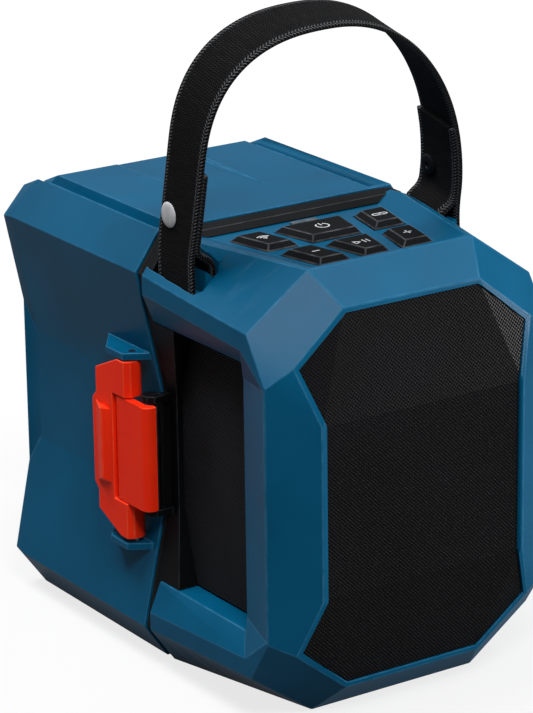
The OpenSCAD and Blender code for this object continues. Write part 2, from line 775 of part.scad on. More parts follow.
dock_w = 68;
dock_h = 84;
dock_t = 6;
rail_t = 4;
rail_h = 12;
socket_half = dock_w / 4 - 1;
pole_pitch = 6.6;
poles = [for (i = [-1 : 2]) (i - 0.5) * pole_pitch];
module battery_dock() {
  z0 = zm - dock_h / 2;
  color(dark) difference() {
    union() {
      block([-dock_w / 2, plate_rear, z0], [dock_w / 2, plate_rear + dock_t, z0 + dock_h]);
      both_sides() {
        block([dock_w / 2 - rail_t, plate_rear + dock_t, z0],
          [dock_w / 2, plate_rear + dock_t + rail_h, z0 + dock_h]);
        block([dock_w / 2 - 3 * rail_t, plate_rear + dock_t + rail_h - rail_t, z0],
          [dock_w / 2, plate_rear + dock_t + rail_h, z0 + dock_h]);
      }
      block([-dock_w / 2, plate_rear + dock_t, z0], [dock_w / 2, plate_rear + dock_t + rail_h, z0 + rail_t]);
      block([-socket_half, plate_rear + dock_t, z0 + rail_t],
        [socket_half, plate_rear + dock_t + 2 * rail_t, z0 + dock_h / 4]);
    }
    for (x = poles)
      block([x - 0.6, plate_rear + dock_t + 1, z0 + 10],
        [x + 0.6, plate_rear + dock_t + rail_h, z0 + dock_h / 4 + over]);
  }
}
module dock_terminals() {
  z0 = zm - dock_h / 2;
  color(steel) for (x = poles)
    block([x - 0.4, plate_rear + dock_t + 1, z0 + 10], [x + 0.4, plate_rear + dock_t + 7, z0 + 34]);
}

module strap_bar() {
  reach = pocket_half + bar_seat - fit_gap;
  inner = bar_x - bar_r + fit_gap;
  color(blue) union() {
    rod_y(bar_r, bar_x, bar_z, -strap_y - reach, -strap_y + reach);
    along_y(-strap_y - pocket_half + 1.5, -strap_y + pocket_half - fit_gap) polygon([
      [inner, bar_z], [swing_x, bar_z], [swing_x, bar_z + bar_rise + 3.5],
      [inner + 1.5, bar_z + bar_rise + 1], [inner, bar_z + bar_rise - 1]
    ]);
  }
}
module strap_bar_right() { strap_bar(); }
module strap_bar_left() { mirror([1, 0, 0]) strap_bar(); }

// Webbing: a path with its thickness laid to both sides
function path_normal(path, i) =
  left_of(unit(path[min(i + 1, len(path) - 1)] - path[max(i - 1, 0)]));
function webbing(path, t) = concat(
  [for (i = [0 : len(path) - 1]) path[i] + path_normal(path, i) * t / 2],
  [for (i = [len(path) - 1 : -1 : 0]) path[i] - path_normal(path, i) * t / 2]
);
function bezier(p, u) =
  pow(1 - u, 3) * p[0] + 3 * u * pow(1 - u, 2) * p[1] + 3 * u * u * (1 - u) * p[2] + pow(u, 3) * p[3];
layer = strap_t - 0.1;
strap_end = strap_w / 2 + 0.2;
tail_len = 33;
square_power = 2 / 2.6;
arch_left = [
  for (a = [0 : 6 : 90])
    [-strap_shift - (strap_x - strap_shift) * pow(cos(a), square_power),
      strap_leg + (strap_rise - strap_leg) * pow(sin(a), square_power)]
];
arch_right = [for (a = [84 : -6 : 0]) [-strap_shift + (strap_x + strap_shift) * cos(a), strap_rise * sin(a)]];
arch = concat([[-strap_x, -strap_w]], [[-strap_x, 0]], arch_left, arch_right, [[strap_x, -strap_w]]);
loop = concat(
  [[strap_x, swing_z], [strap_x, bar_z]],
  [for (a = [-15 : -15 : -180]) [bar_x + loop_r * cos(a), bar_z + loop_r * sin(a)]],
  [for (u = [0 : 0.1 : 1])
    bezier([[bar_x - loop_r, bar_z + bar_rise - 2], [bar_x - loop_r, bar_z + bar_rise + 4.5],
      [bar_x - 1.3, bar_z + bar_rise + 5.5], [strap_x - strap_t - fit_gap, swing_z + 1]], u)]
);

// Space that the swinging webbing sweeps at its lower end
module swing_space(gap) {
  translate([0, -strap_y, swing_z]) {
    rod_x(strap_end + gap, 0, 0, swing_x, body_w);
    for (a = [strap_lean + swing_front, strap_lean, strap_lean - swing_back]) rotate([a, 0, 0])
      block([swing_x, -strap_end - 2 * gap, 0], [body_w, strap_end + 2 * gap, strap_rise]);
  }
}

module strap_loop() {
  color(black) difference() {
    along_y(-strap_y - strap_w / 2, -strap_y + strap_w / 2) polygon(webbing(loop, strap_t));
    swing_space(move_gap);
  }
}
module strap_loop_right() { strap_loop(); }
module strap_loop_left() { mirror([1, 0, 0]) strap_loop(); }

rivet_rise = 14;
rivet_back = 6;
rivet_r = 1.6;
function leg_x(side) = side < 0 ? strap_x
  : -strap_shift + (strap_x + strap_shift) * sqrt(1 - pow(rivet_rise / strap_rise, 2));
function leg_tilt(side) = side < 0 ? 0
  : atan((strap_x + strap_shift) * rivet_rise / pow(strap_rise, 2)
    / sqrt(1 - pow(rivet_rise / strap_rise, 2)));
module rivet_frame(side) {
  translate([side * leg_x(side), rivet_back, rivet_rise])
    rotate([0, side * (90 - leg_tilt(side)), 0]) children();
}
module strap_frame() {
  translate([0, -strap_y, swing_z]) rotate([strap_lean, 0, 0]) children();
}
module carry_strap() {
  color(black) strap_frame() difference() {
    intersection() {
      union() {
        along_y(-strap_w / 2, strap_w / 2) polygon(webbing(arch, strap_t));
        for (s = [-1, 1]) strap_tail(s);
      }
      union() {
        rod_x(strap_end, 0, 0, -body_w, body_w);
        block([-body_w, -strap_w, 0], [body_w, strap_w, 2 * strap_rise]);
      }
    }
    for (s = [-1, 1]) rivet_frame(s) rod_z(rivet_r + pin_gap, 0, 0, -3 * strap_t, 3 * strap_t);
  }
}
function tail_path(side) = [
  for (h = concat([-strap_w], [for (i = [0 : 6]) i * tail_len / 6]))
    let (u = max(h, 0))
    [side < 0 ? -strap_x + layer
      : -strap_shift + (strap_x + strap_shift) * sqrt(1 - pow(u / strap_rise, 2)) - layer, h]
];
module strap_tail(side) {
  along_y(-strap_w / 2, strap_w / 2) polygon(webbing(tail_path(side), strap_t));
}
rivet_seat = 0.25;
rivet_cap_t = 1.2;
module rivet_caps() {
  color(steel) strap_frame() for (s = [-1, 1]) rivet_frame(s) {
    translate([0, 0, strap_t / 2 + rivet_seat]) cylinder(d1 = rivet_d, d2 = rivet_d - 1.6, h = rivet_cap_t);
    rod_z(rivet_r, 0, 0, -strap_t / 2 - layer - rivet_seat - rivet_cap_t,
      strap_t / 2 + rivet_seat + rivet_cap_t / 2);
  }
}
module rivet_backs() {
  outer = -strap_t / 2 - layer - 2 * rivet_seat;
  color(black) strap_frame() for (s = [-1, 1]) rivet_frame(s) difference() {
    rod_z(rivet_d / 2 - 0.5, 0, 0, outer - rivet_cap_t, outer);
    rod_z(rivet_r + pin_gap, 0, 0, outer - 2 * rivet_cap_t, outer + over);
  }
}

module frame_screws() {
  color(steel) both_sides() for (z = screw_z) {
    rod_y(screw_r - 0.1, screw_x, z, -head_gap - boss_depth + 3, plate_rear - 0.3);
    rod_y(screw_head_r, screw_x, z, plate_rear - 1.5, plate_rear - 0.1);
  }
}

module door_gasket() {
  color(black) difference() {
    along_y(plate_rear, plate_rear + gasket_t) polygon(inset(seam, frame_inset));
    along_y(plate_rear - over, plate_rear + gasket_t + over) polygon(inset(seam, wall));
    deck_hollow();
  }
}

// Rear door: drawn-in shell with grooves, back bevel, latch ears and hinge knuckles
groove_out = top_w / 2;
groove_in = groove_out - groove_w;
door_right = concat(
  [for (i = [0 : 4]) seam_right[i]],
  [[groove_out, zt], [groove_out - 1.2, zt - groove_depth], [groove_in + 1.2, zt - groove_depth],
    [groove_in, zt]]
);
door_section = mirrored(door_right);
back_drop = 5;
back_side = 0.6;
back_waist_w = waist_w + 5;
back_waist_h = waist_h + 26;
back_right = concat(
  [[top_w / 2 + 2, zb + back_drop], [half_w - back_side, zb + shoulder_drop + over],
    [back_waist_w / 2, zm - back_waist_h / 2], [back_waist_w / 2, zm + back_waist_h / 2],
    [half_w - back_side, zt - shoulder_drop - over]],
  [for (i = [5 : 8]) [door_right[i].x, min(zt - back_drop, door_right[i].y - 1.5)]]
);
inner_section = inset(door_section, wall);

module door_shell() {
  y1 = door_depth - back_bevel;
  difference() {
    union() {
      along_y(0, y1) polygon(door_section);
      along_y(0, groove_rim) polygon(seam);
      loft([level(door_section, y1), level(mirrored(back_right), door_depth)]);
    }
    along_y(-over, y1 + back_bevel - wall) polygon(inset(inner_section, back_bevel - wall));
    along_y(-over, y1) polygon(inner_section);
  }
}

module latch_ear() {
  root = waist_w / 2;
  translate([0, 0, -ear_t / 2]) linear_extrude(ear_t) polygon([
    [-root, 0.6], [-half_w - ear_out, lever_y - 1], [-half_w - ear_out, lever_y + 11.5],
    [-root - 2, lever_y + 27], [-root, lever_y + 27]
  ]);
}

module rear_door() {
  color(blue) difference() {
    union() {
      door_shell();
      for (z = [zl + ear_high + ear_t / 2, zl - ear_low - ear_t / 2]) translate([0, 0, z]) latch_ear();
      for (s = [-1, 1]) {
        z0 = zm + (s < 0 ? -2 * knuckle_h : knuckle_h + move_gap);
        rod_z(barrel_r, hinge_x, 0, z0, z0 + knuckle_h - move_gap);
        block([waist_w / 2 - 1, 0.4, z0], [hinge_x, barrel_r, z0 + knuckle_h - move_gap]);
      }
    }
    rod_z(pin_r, hinge_x, 0, zm - 2 * knuckle_h - over, zm + 2 * knuckle_h + over);
    rod_z(pin_r, -pivot_x, lever_y, zl - ear_low - ear_t - over, zl + ear_high + ear_t + over);
    loft([
      [for (p = [[-1, -1], [1, -1], [1, 1], [-1, 1]])
        [p.x * dip_w / 2, door_depth + (p.y < 0 ? -dip_len : over), zt + over]],
      [for (p = [[-1, -1], [1, -1], [1, 1], [-1, 1]])
        [p.x * dip_w / 2, door_depth + (p.y < 0 ? -dip_len : over), zt - (p.y < 0 ? 0 : dip_depth)]]
    ]);
    foot_seat(door_depth - back_bevel - 14 - foot_len);
  }
}

module hinge_pin() {
  color(steel) rod_z(pin_r, hinge_x, 0, zm - 2 * knuckle_h, zm + 2 * knuckle_h);
}

// Outline of the lever seen from the side: arms that taper to the rear and the grip between them
module lever_outline() {
  rear = lever_y + lever_len;
  arm = [
    [rear, arm_z1 - arm_drop], [lever_y + lever_barrel, arm_z1], [lever_y - lever_barrel - over, arm_z1]
  ];
  flange = [[rear + grip_rear, grip_rear_half], [rear, grip_rear_half + grip_rear]];
  translate([0, 0, zl]) along_x(-body_w, 0) polygon(concat(
    [for (p = flange) [p.x, p.y - grip_dip]], arm, [for (p = flip(arm)) [p.x, -p.y]],
    [for (p = flip(flange)) [p.x, -p.y - grip_dip]]
  ));
}
module latch_lever() {
  x_in = lever_out - lever_t;
  rear = lever_y + lever_len;
  color(red) difference() {
    union() {
      intersection() {
        union() {
          for (s = [-1, 1]) translate([0, 0, zl + (s < 0 ? -arm_z1 : arm_z0)]) {
            translate([-pivot_x, lever_y, 0]) cylinder(r = lever_barrel, h = arm_z1 - arm_z0);
            linear_extrude(arm_z1 - arm_z0) polygon([
              [-pivot_x, lever_y - lever_barrel], [-lever_out + 2.6, lever_y - lever_barrel],
              [-lever_out, lever_y - lever_barrel + 1.6], [-lever_out, rear], [-x_in, rear],
              [-x_in, lever_y + lever_barrel], [-pivot_x, lever_y + lever_barrel]
            ]);
          }
          block([-lever_out, slot_y, zl - arm_z1], [-x_in, rear + grip_rear, zl + arm_z1]);
        }
        lever_outline();
      }
      grip();
    }
    rod_z(pin_r + pin_gap, -pivot_x, lever_y, zb, zt);
    rod_z(hook_pin_r, -hook_x, hook_y, zl - arm_z0 - 8, zl + arm_z0 + 8);
  }
}
ridge_in = 2.4;
grip_rear_half = grip_h / 2 + 0.6;
module grip() {
  ridge_half = grip_h / 2 - ridge_in;
  front_half = grip_h / 2 - 1.4;
  tip = lever_out + grip_out;
  base = lever_out - over;
  y0 = slot_y + 0.4;
  y1 = lever_y + lever_len + grip_rear;
  ridge = slot_y + (y1 - slot_y) / 3;
  mirror([1, 0, 0]) translate([0, 0, zl]) loft([
    [[tip, ridge - 0.5, -ridge_half], [tip, ridge + 0.5, -ridge_half], [tip, ridge + 0.5, ridge_half],
      [tip, ridge - 0.5, ridge_half]],
    [[base, y0, -front_half - grip_dip], [base, y1, -grip_rear_half - grip_dip],
      [base, y1, grip_rear_half - grip_dip], [base, y0, front_half - grip_dip]]
  ]);
}

module latch_pins() {
  color(steel) for (s = [-1, 1])
    rod_z(pin_r, -pivot_x, lever_y, zl + (s < 0 ? -ear_low - ear_t : arm_z0),
      zl + (s < 0 ? -arm_z0 : ear_high + ear_t));
}

module latch_hook() {
  x_out = lever_out - move_gap;
  x_in = x_out - 3.5;
  nose = [for (a = [0 : 18 : 90]) [-x_out + 3.5 * (1 - cos(a)), -hook_front + hook_round * (1 - sin(a))]];
  color(red) difference() {
    translate([0, 0, zl - hook_half]) linear_extrude(hook_h) union() {
      translate([-hook_x, hook_y]) circle(hook_barrel);
      polygon(concat(
        [[-x_in, hook_y], [-x_out, hook_y]], nose,
        [[-x_in + 2, -hook_front], [-x_in + 2.4, -hook_front + 2.5], [-x_in, -hook_front + 4]]
      ));
    }
    rod_z(hook_pin_r + pin_gap, -hook_x, hook_y, zb, zt);
  }
}

module hook_pin() {
  color(steel) rod_z(hook_pin_r, -hook_x, hook_y, zl - arm_z0 - 8, zl + arm_z0 + 8);
}

module placed() {
  translate([0, seam_y, 0]) children();
}

placed() front_housing();
placed() front_grille();
placed() speaker_baffle();
placed() driver_basket();
placed() driver_magnet();
placed() driver_cone();
placed() driver_surround();
placed() side_mesh_left();
placed() side_mesh_right();
placed() passive_radiator_left();
placed() passive_radiator_right();
placed() mid_frame();
placed() deck_trim();
placed() control_board();
placed() led_lens();
placed() button_power();
placed() button_pair();
placed() button_link();
placed() button_minus();
placed() button_play();
placed() button_plus();
placed() main_board();
placed() battery_dock();
placed() dock_terminals();
placed() strap_bar_left();
placed() strap_bar_right();
placed() strap_loop_left();
placed() strap_loop_right();
placed() carry_strap();
placed() rivet_caps();
placed() rivet_backs();
placed() front_foot();
placed() middle_foot();
placed() door_foot();
placed() frame_screws();
placed() door_gasket();
placed() rear_door();
placed() hinge_pin();
placed() latch_lever();
placed() latch_pins();
placed() latch_hook();
placed() hook_pin();
placed() keeper_bar();
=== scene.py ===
"""Dresses the portable speaker and builds the studio round it."""

import logging
import math
from collections.abc import Callable, Iterable, Sequence
from dataclasses import dataclass, field
from enum import Enum

import bmesh
import bpy
from bmesh.types import BMEdge, BMesh, BMFace, BMLoop, BMVert
from bpy.types import ID, Material, Mesh, MeshPolygon, Object
from bpy.types import Node, NodeOutputs, NodeSocket, NodeTree
from mathutils import Matrix, Vector


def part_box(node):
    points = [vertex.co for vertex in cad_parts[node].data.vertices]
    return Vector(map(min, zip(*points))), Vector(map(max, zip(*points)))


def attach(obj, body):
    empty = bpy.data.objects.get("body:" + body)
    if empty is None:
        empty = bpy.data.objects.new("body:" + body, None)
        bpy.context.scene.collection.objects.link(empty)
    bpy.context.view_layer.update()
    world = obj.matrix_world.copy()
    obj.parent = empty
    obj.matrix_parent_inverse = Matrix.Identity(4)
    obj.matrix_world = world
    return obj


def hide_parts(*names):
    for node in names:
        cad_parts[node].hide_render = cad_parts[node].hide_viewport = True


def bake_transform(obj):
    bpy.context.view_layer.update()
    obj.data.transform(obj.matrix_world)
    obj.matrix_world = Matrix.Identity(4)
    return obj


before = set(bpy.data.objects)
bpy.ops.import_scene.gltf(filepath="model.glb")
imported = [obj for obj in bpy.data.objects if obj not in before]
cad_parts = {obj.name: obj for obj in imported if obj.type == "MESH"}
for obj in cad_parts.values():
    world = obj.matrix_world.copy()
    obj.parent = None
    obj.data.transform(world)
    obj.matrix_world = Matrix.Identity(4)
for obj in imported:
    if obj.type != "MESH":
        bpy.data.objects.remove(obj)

MM = 0.001
TINY = 1e-9
EDGE_MARK = "edge_mark"
LOG = logging.getLogger("speaker")
Triple = tuple[float, float, float]
Pairs = tuple[tuple[float, float], ...]
Feed = float | tuple | NodeSocket


def screen(colour: Triple) -> Triple:
    """Returns a screen colour, given from 0 to 255, in linear light."""
    shares = [value / 255 for value in colour]
    return tuple(s / 12.92 if s <= 0.04045 else ((s + 0.055) / 1.055) ** 2.4 for s in shares)


def mm(x: float, y: float, z: float) -> Vector:
    """Returns a point given in millimetres as a vector in metres."""
    return Vector((x, y, z)) * MM


class Graph:
    """A shader tree that is wired up node by node."""

    def __init__(self, tree: NodeTree) -> None:
        """Starts on an existing tree."""
        self.tree = tree

    def feed(self, socket: NodeSocket, value: Feed) -> None:
        """Gives an input its value or its link.

        Args:
            socket: The input.
            value: A number, a colour, or the output that drives it.
        """
        if isinstance(value, NodeSocket):
            self.tree.links.new(value, socket)
        elif socket.type == "RGBA" and len(value) == 3:
            socket.default_value = (*value, 1.0)
        else:
            socket.default_value = value

    def add(self, kind: str, settings: dict | None = None, **inputs: Feed) -> Node:
        """Adds a node.

        Args:
            kind: The node's type.
            settings: Properties of the node.
            inputs: Values or links of its inputs, with _ for a space in a name.

        Returns:
            The new node.
        """
        node = self.tree.nodes.new(kind)
        for name, value in (settings or {}).items():
            setattr(node, name, value)
        for name, value in inputs.items():
            self.feed(node.inputs[name.replace("_", " ")], value)
        return node

    def math(self, operation: str, *values: Feed) -> NodeSocket:
        """Adds a Math node.

        Args:
            operation: The operation's name.
            values: Its inputs in order.

        Returns:
            The result's socket.
        """
        node = self.add("ShaderNodeMath", {"operation": operation})
        for socket, value in zip(node.inputs, values):
            self.feed(socket, value)
        return node.outputs[0]

    def times(self, first: Feed, second: Feed) -> NodeSocket:
        """Multiplies two values."""
        return self.math("MULTIPLY", first, second)

    def half_wave(self, share: Feed) -> NodeSocket:
        """Rises from 0 to 1 and falls to 0 again, as a share goes from 0 to 1."""
        return self.math("SINE", self.times(share, math.pi))

    def ramp(
        self, value: Feed, low: float, high: float, to_low: float = 0.0, to_high: float = 1.0
    ) -> NodeSocket:
        """Adds a smooth Map Range node.

        Args:
            value: What is mapped.
            low: The value that gives to_low.
            high: The value that gives to_high.
            to_low: Result at low.
            to_high: Result at high.

        Returns:
            The result's socket.
        """
        smooth = {"interpolation_type": "SMOOTHSTEP"}
        ends = {"From_Min": low, "From_Max": high, "To_Min": to_low, "To_Max": to_high}
        return self.add("ShaderNodeMapRange", smooth, Value=value, **ends).outputs["Result"]

    def mix(self, share: Feed, first: Feed, second: Feed) -> NodeSocket:
        """Adds a colour mix.

        Args:
            share: Share of the second colour.
            first: First colour.
            second: Second colour.

        Returns:
            The mixed colour's socket.
        """
        node = self.add("ShaderNodeMix", {"data_type": "RGBA"})
        for index, value in ((0, share), (6, first), (7, second)):
            self.feed(node.inputs[index], value)
        return node.outputs[2]

    def noise(self, vector: Feed, scale: Feed, detail: float, roughness: float = 0.5) -> NodeSocket:
        """Adds a noise texture and returns its value."""
        settings = {"Vector": vector, "Scale": scale, "Detail": detail, "Roughness": roughness}
        return self.add("ShaderNodeTexNoise", **settings).outputs["Fac"]


class Effect(Enum):
    """Surface effects that several finishes share: a group's name, its inputs and its outputs."""

    GRAIN = ("moulded_grain", ("Fine", "Slow"), ("Height", "Tone"))
    # Lighter rounded edges: rub wear and painted highlight.
    WEAR_AND_HIGHLIGHT = ("edge_wear", ("Scale",), ("Mask",))
    HOLES = ("perforation", ("Pitch", "Radius"), ("Sheet", "Height"))
    WEAVE = ("webbing_weave", ("Border",), ("Height", "Tone"))
    BRUSH = ("brushed_lines", ("Fine",), ("Height", "Tone"))


class Group(Graph):
    """The shader group of one effect."""

    TONES = (0.3, 0.7)
    SLOW_SHARE = 0.75
    PIT_DEPTH = 0.4
    # Reach of the lighter edge colour, which paints rub wear and edge highlight.
    RUB_AND_HIGHLIGHT = (0.35, 1.0)
    DIAGONAL = 0.7071
    HOLE_RIM = (-0.08, 0.06)
    HOLE_DISH = (-0.16, 0.14)
    STRANDS = 26.0
    STRAND_DEPTH = 0.3
    STAGGER = 0.45
    RIB_POWER = 1.4
    RIB_HEIGHT = 0.35
    BORDER_EDGE = (-0.008, 0.008)
    CHANNELS = 12.0
    CHANNEL = 0.62
    CHANNEL_DEPTH = 0.65
    STITCHES = 0.72
    SLANT = 1.3
    STITCH_HEIGHT = 1.1
    FUZZ = (0.25, 0.75, 0.7, 1.2)
    DRAWN_OUT = (1.0, 1.0, 0.06)
    CLOUD_SHARE = 0.4
    CLOUD = 140.0

    def __init__(self, effect: Effect) -> None:
        """Makes the group's sockets and wires it up.

        Args:
            effect: Which effect.
        """
        name, inputs, outputs = effect.value
        super().__init__(bpy.data.node_groups.new(name, "ShaderNodeTree"))
        sockets = [("Vector", "INPUT", "NodeSocketVector")]
        sockets += [(socket, "INPUT", "NodeSocketFloat") for socket in inputs]
        sockets += [(socket, "OUTPUT", "NodeSocketFloat") for socket in outputs]
        for socket, way, kind in sockets:
            self.tree.interface.new_socket(socket, in_out=way, socket_type=kind)
        self.given = self.add("NodeGroupInput").outputs
        self.out = self.add("NodeGroupOutput").inputs
        self.where = self.given["Vector"]
        getattr(self, effect.name.lower())()

    def shared(self, first: Feed, second: Feed, share: float) -> NodeSocket:
        """Adds up a share of the second value and the rest of the first."""
        return self.math("MULTIPLY_ADD", first, 1 - share, self.times(second, share))

    def swell(self, share: Feed, depth: float) -> NodeSocket:
        """Rises by a depth to 1 and falls again, as a share goes from 0 to 1."""
        return self.math("MULTIPLY_ADD", self.half_wave(share), depth, 1 - depth)

    def grain(self) -> None:
        """Wires the fine spark-eroded grain of a moulding, with a slow change of tone."""
        scale = self.given["Fine"]
        fine = self.noise(self.where, scale, 3.0, 0.6)
        pits = self.add("ShaderNodeTexVoronoi", {"feature": "F1"}, Vector=self.where, Scale=scale)
        slow = self.noise(self.where, self.given["Slow"], 2.0)
        tone = self.shared(fine, slow, self.SLOW_SHARE)
        height = self.math("MULTIPLY_ADD", pits.outputs["Distance"], self.PIT_DEPTH, fine)
        self.feed(self.out["Height"], height)
        self.feed(self.out["Tone"], self.ramp(tone, *self.TONES))

    def wear_and_highlight(self) -> None:
        """Wires the lighter look of rounded edges, partly rub wear and partly painted highlight,
        from the mesh's own edge mark.
        """
        mark = self.add("ShaderNodeAttribute", {"attribute_name": EDGE_MARK}).outputs["Fac"]
        patches = self.noise(self.where, self.given["Scale"], 3.0)
        self.feed(self.out["Mask"], self.times(mark, self.ramp(patches, *self.TONES, *self.RUB_AND_HIGHLIGHT)))

    def holes(self) -> None:
        """Wires a close lattice of round holes in the plane of X and Z, set on the diagonal."""
        parts = self.add("ShaderNodeSeparateXYZ", Vector=self.where).outputs
        across, up = (self.math("DIVIDE", parts[axis], self.given["Pitch"]) for axis in "XZ")
        squares = []
        for operation in ("ADD", "SUBTRACT"):
            turned = self.times(self.math(operation, across, up), self.DIAGONAL)
            offset = self.math("SUBTRACT", self.math("FRACT", turned), 0.5)
            squares.append(self.math("POWER", offset, 2.0))
        distance = self.math("SQRT", self.math("ADD", *squares))
        beyond = self.math("SUBTRACT", distance, self.given["Radius"])
        self.feed(self.out["Sheet"], self.ramp(beyond, *self.HOLE_RIM))
        self.feed(self.out["Height"], self.ramp(beyond, *self.HOLE_DISH))

    def weave(self) -> None:
        """Wires webbing: ribs across the band and chevron stitches along both edges, with a tone
        that follows their height as painted shade and highlight.

        The band's own map gives X across from 0 to 1 and Y along in units of the rib pitch.
        """
        parts = self.add("ShaderNodeSeparateXYZ", Vector=self.where).outputs
        across, along = parts["X"], parts["Y"]
        side = self.math("ABSOLUTE", self.math("SUBTRACT", across, 0.5))
        border = self.ramp(self.math("SUBTRACT", side, self.given["Border"]), *self.BORDER_EDGE)
        strands = self.times(across, self.STRANDS)
        stagger = self.times(self.math("MODULO", self.math("FLOOR", strands), 2.0), 0.5)
        shifted = self.math("ADD", along, self.times(stagger, self.STAGGER))
        rib = self.math("POWER", self.half_wave(self.math("FRACT", shifted)), self.RIB_POWER)
        body = self.times(rib, self.swell(self.math("FRACT", strands), self.STRAND_DEPTH))
        inward = self.times(self.math("SUBTRACT", side, 0.5), self.CHANNELS)
        inner = self.math("PINGPONG", inward, self.CHANNEL)
        slant = self.math("MULTIPLY_ADD", along, self.STITCHES, self.times(inner, self.SLANT))
        stitch = self.math("POWER", self.half_wave(self.math("FRACT", slant)), 2.0)
        channel = self.math("DIVIDE", inner, self.CHANNEL)
        chevron = self.times(stitch, self.swell(channel, self.CHANNEL_DEPTH))
        blend = self.add("ShaderNodeMix", {"data_type": "FLOAT"})
        heights = self.times(body, self.RIB_HEIGHT), self.times(chevron, self.STITCH_HEIGHT)
        for index, value in zip((0, 2, 3), (border, *heights)):
            self.feed(blend.inputs[index], value)
        height = blend.outputs[0]
        fuzz = self.ramp(self.noise(self.where, 3.0, 3.0), *self.FUZZ)
        self.feed(self.out["Height"], height)
        # Tone follows height: painted shade in the valleys, painted highlight on the crests.
        self.feed(self.out["Tone"], self.times(height, fuzz))

    def brush(self) -> None:
        """Wires fine turned or drawn lines along Z, with a cloudy tone."""
        drawn = self.add("ShaderNodeMapping", Vector=self.where, Scale=self.DRAWN_OUT)
        lines = self.noise(drawn.outputs["Vector"], self.given["Fine"], 4.0)
        cloud = self.noise(self.where, self.CLOUD, 2.0)
        tone = self.shared(lines, cloud, self.CLOUD_SHARE)
        self.feed(self.out["Height"], lines)
        self.feed(self.out["Tone"], self.ramp(tone, *self.TONES))


class Blank(Graph):
    """A new material with its shader and its place vectors."""

    def __init__(self, name: str, specular: float, metallic: float = 0.0) -> None:
        """Makes the material.

        Args:
            name: Name of the material.
            specular: Level of the mirror part.
            metallic: 1 for bare metal.
        """
        self.material = bpy.data.materials.new(name)
        self.material.use_nodes = True
        super().__init__(self.material.node_tree)
        self.shader = self.tree.nodes["Principled BSDF"].inputs
        self.drive("Specular IOR Level", specular)
        self.drive("Metallic", metallic)
        self.place = self.add("ShaderNodeTexCoord").outputs

    def drive(self, name: str, value: Feed) -> None:
        """Gives one input of the shader its value or its link."""
        self.feed(self.shader[name], value)

    def bump(self, height: Feed, depth: float) -> None:
        """Raises the surface by a height map, where a height of 1 stands for a depth in metres."""
        node = self.add("ShaderNodeBump", Height=height, Distance=depth)
        self.drive("Normal", node.outputs["Normal"])

    def effect(self, effect: Effect, place: str = "Object", **inputs: Feed) -> NodeOutputs:
        """Puts a shared effect into the material, with its group built on first use.

        Args:
            effect: Which effect.
            place: The place vector that it follows.
            inputs: Values of its other inputs.

        Returns:
            The effect's outputs by name.
        """
        tree = bpy.data.node_groups.get(effect.value[0]) or Group(effect).tree
        settings = {"node_tree": tree}
        return self.add("ShaderNodeGroup", settings, Vector=self.place[place], **inputs).outputs


@dataclass(frozen=True)
class MouldedFinish:
    """Moulded plastic or rubber: grain, slow tone, and rounded edges painted lighter, as rub wear
    and as painted highlight.
    """

    name: str
    deep: Triple
    light: Triple
    rubbed_and_highlight: Triple
    roughness: float = 0.5
    specular: float = 0.2
    fine: float = 2600.0
    slow: float = 26.0
    depth: float = 0.00004
    rub_and_highlight: float = 0.5
    spread: tuple[float, float] = (-0.02, 0.03)
    patches: float = 180.0
    polish: float = -0.12

    def build(self) -> Material:
        """Builds the material.

        Returns:
            The material.
        """
        blank = Blank(self.name, self.specular)
        grain = blank.effect(Effect.GRAIN, Fine=self.fine, Slow=self.slow)
        # Rounded edges take a lighter colour: partly rub wear, partly a painted highlight.
        edge = blank.times(blank.effect(Effect.WEAR_AND_HIGHLIGHT, Scale=self.patches)["Mask"], self.rub_and_highlight)
        body = blank.mix(grain["Tone"], screen(self.deep), screen(self.light))
        blank.drive("Base Color", blank.mix(edge, body, screen(self.rubbed_and_highlight)))
        rough = blank.ramp(grain["Tone"], 0.0, 1.0, *(self.roughness + s for s in self.spread))
        blank.drive("Roughness", blank.math("MULTIPLY_ADD", edge, self.polish, rough))
        blank.bump(grain["Height"], self.depth)
        return blank.material


@dataclass(frozen=True)
class PerforatedFinish:
    """Painted sheet with a close lattice of painted holes; their dark colour is painted shade
    inside them.
    """

    name: str
    sheet: Triple
    lit: Triple
    hole_shade: Triple
    pitch: float
    radius: float
    roughness: float = 0.36
    hole_roughness: float = 0.95
    specular: float = 0.1
    fine: float = 1800.0
    slow: float = 30.0
    depth: float = 0.3

    def build(self) -> Material:
        """Builds the material.

        Returns:
            The material.
        """
        blank = Blank(self.name, self.specular)
        holes = blank.effect(Effect.HOLES, Pitch=self.pitch, Radius=self.radius)
        grain = blank.effect(Effect.GRAIN, Fine=self.fine, Slow=self.slow)
        paint = blank.mix(grain["Tone"], screen(self.sheet), screen(self.lit))
        # The holes are painted dark, as painted shade behind the sheet.
        blank.drive("Base Color", blank.mix(holes["Sheet"], screen(self.hole_shade), paint))
        rough = blank.ramp(holes["Sheet"], 0.0, 1.0, self.hole_roughness, self.roughness)
        blank.drive("Roughness", rough)
        blank.bump(holes["Height"], self.pitch * self.depth)
        return blank.material


@dataclass(frozen=True)
class WebbingFinish:
    """Woven band with ribs across and chevron stitches along its edges, coloured by their height:
    painted shade in the valleys, painted highlight on the raised threads.
    """

    name: str
    valley_shade: Triple
    thread_highlight: Triple
    border: float = 0.385
    tones: tuple[float, float] = (0.15, 1.1)
    roughness: tuple[float, float] = (0.95, 0.62)
    specular: float = 0.1
    depth: float = 0.00045

    def build(self) -> Material:
        """Builds the material.

        Returns:
            The material.
        """
        blank = Blank(self.name, self.specular)
        weave = blank.effect(Effect.WEAVE, "UV", Border=self.border)
        share = blank.ramp(weave["Tone"], *self.tones)
        # Valleys get painted shade and raised threads a painted highlight.
        blank.drive("Base Color", blank.mix(share, screen(self.valley_shade), screen(self.thread_highlight)))
        blank.drive("Roughness", blank.ramp(weave["Tone"], 0.0, 1.0, *self.roughness))
        blank.bump(weave["Height"], self.depth)
        return blank.material


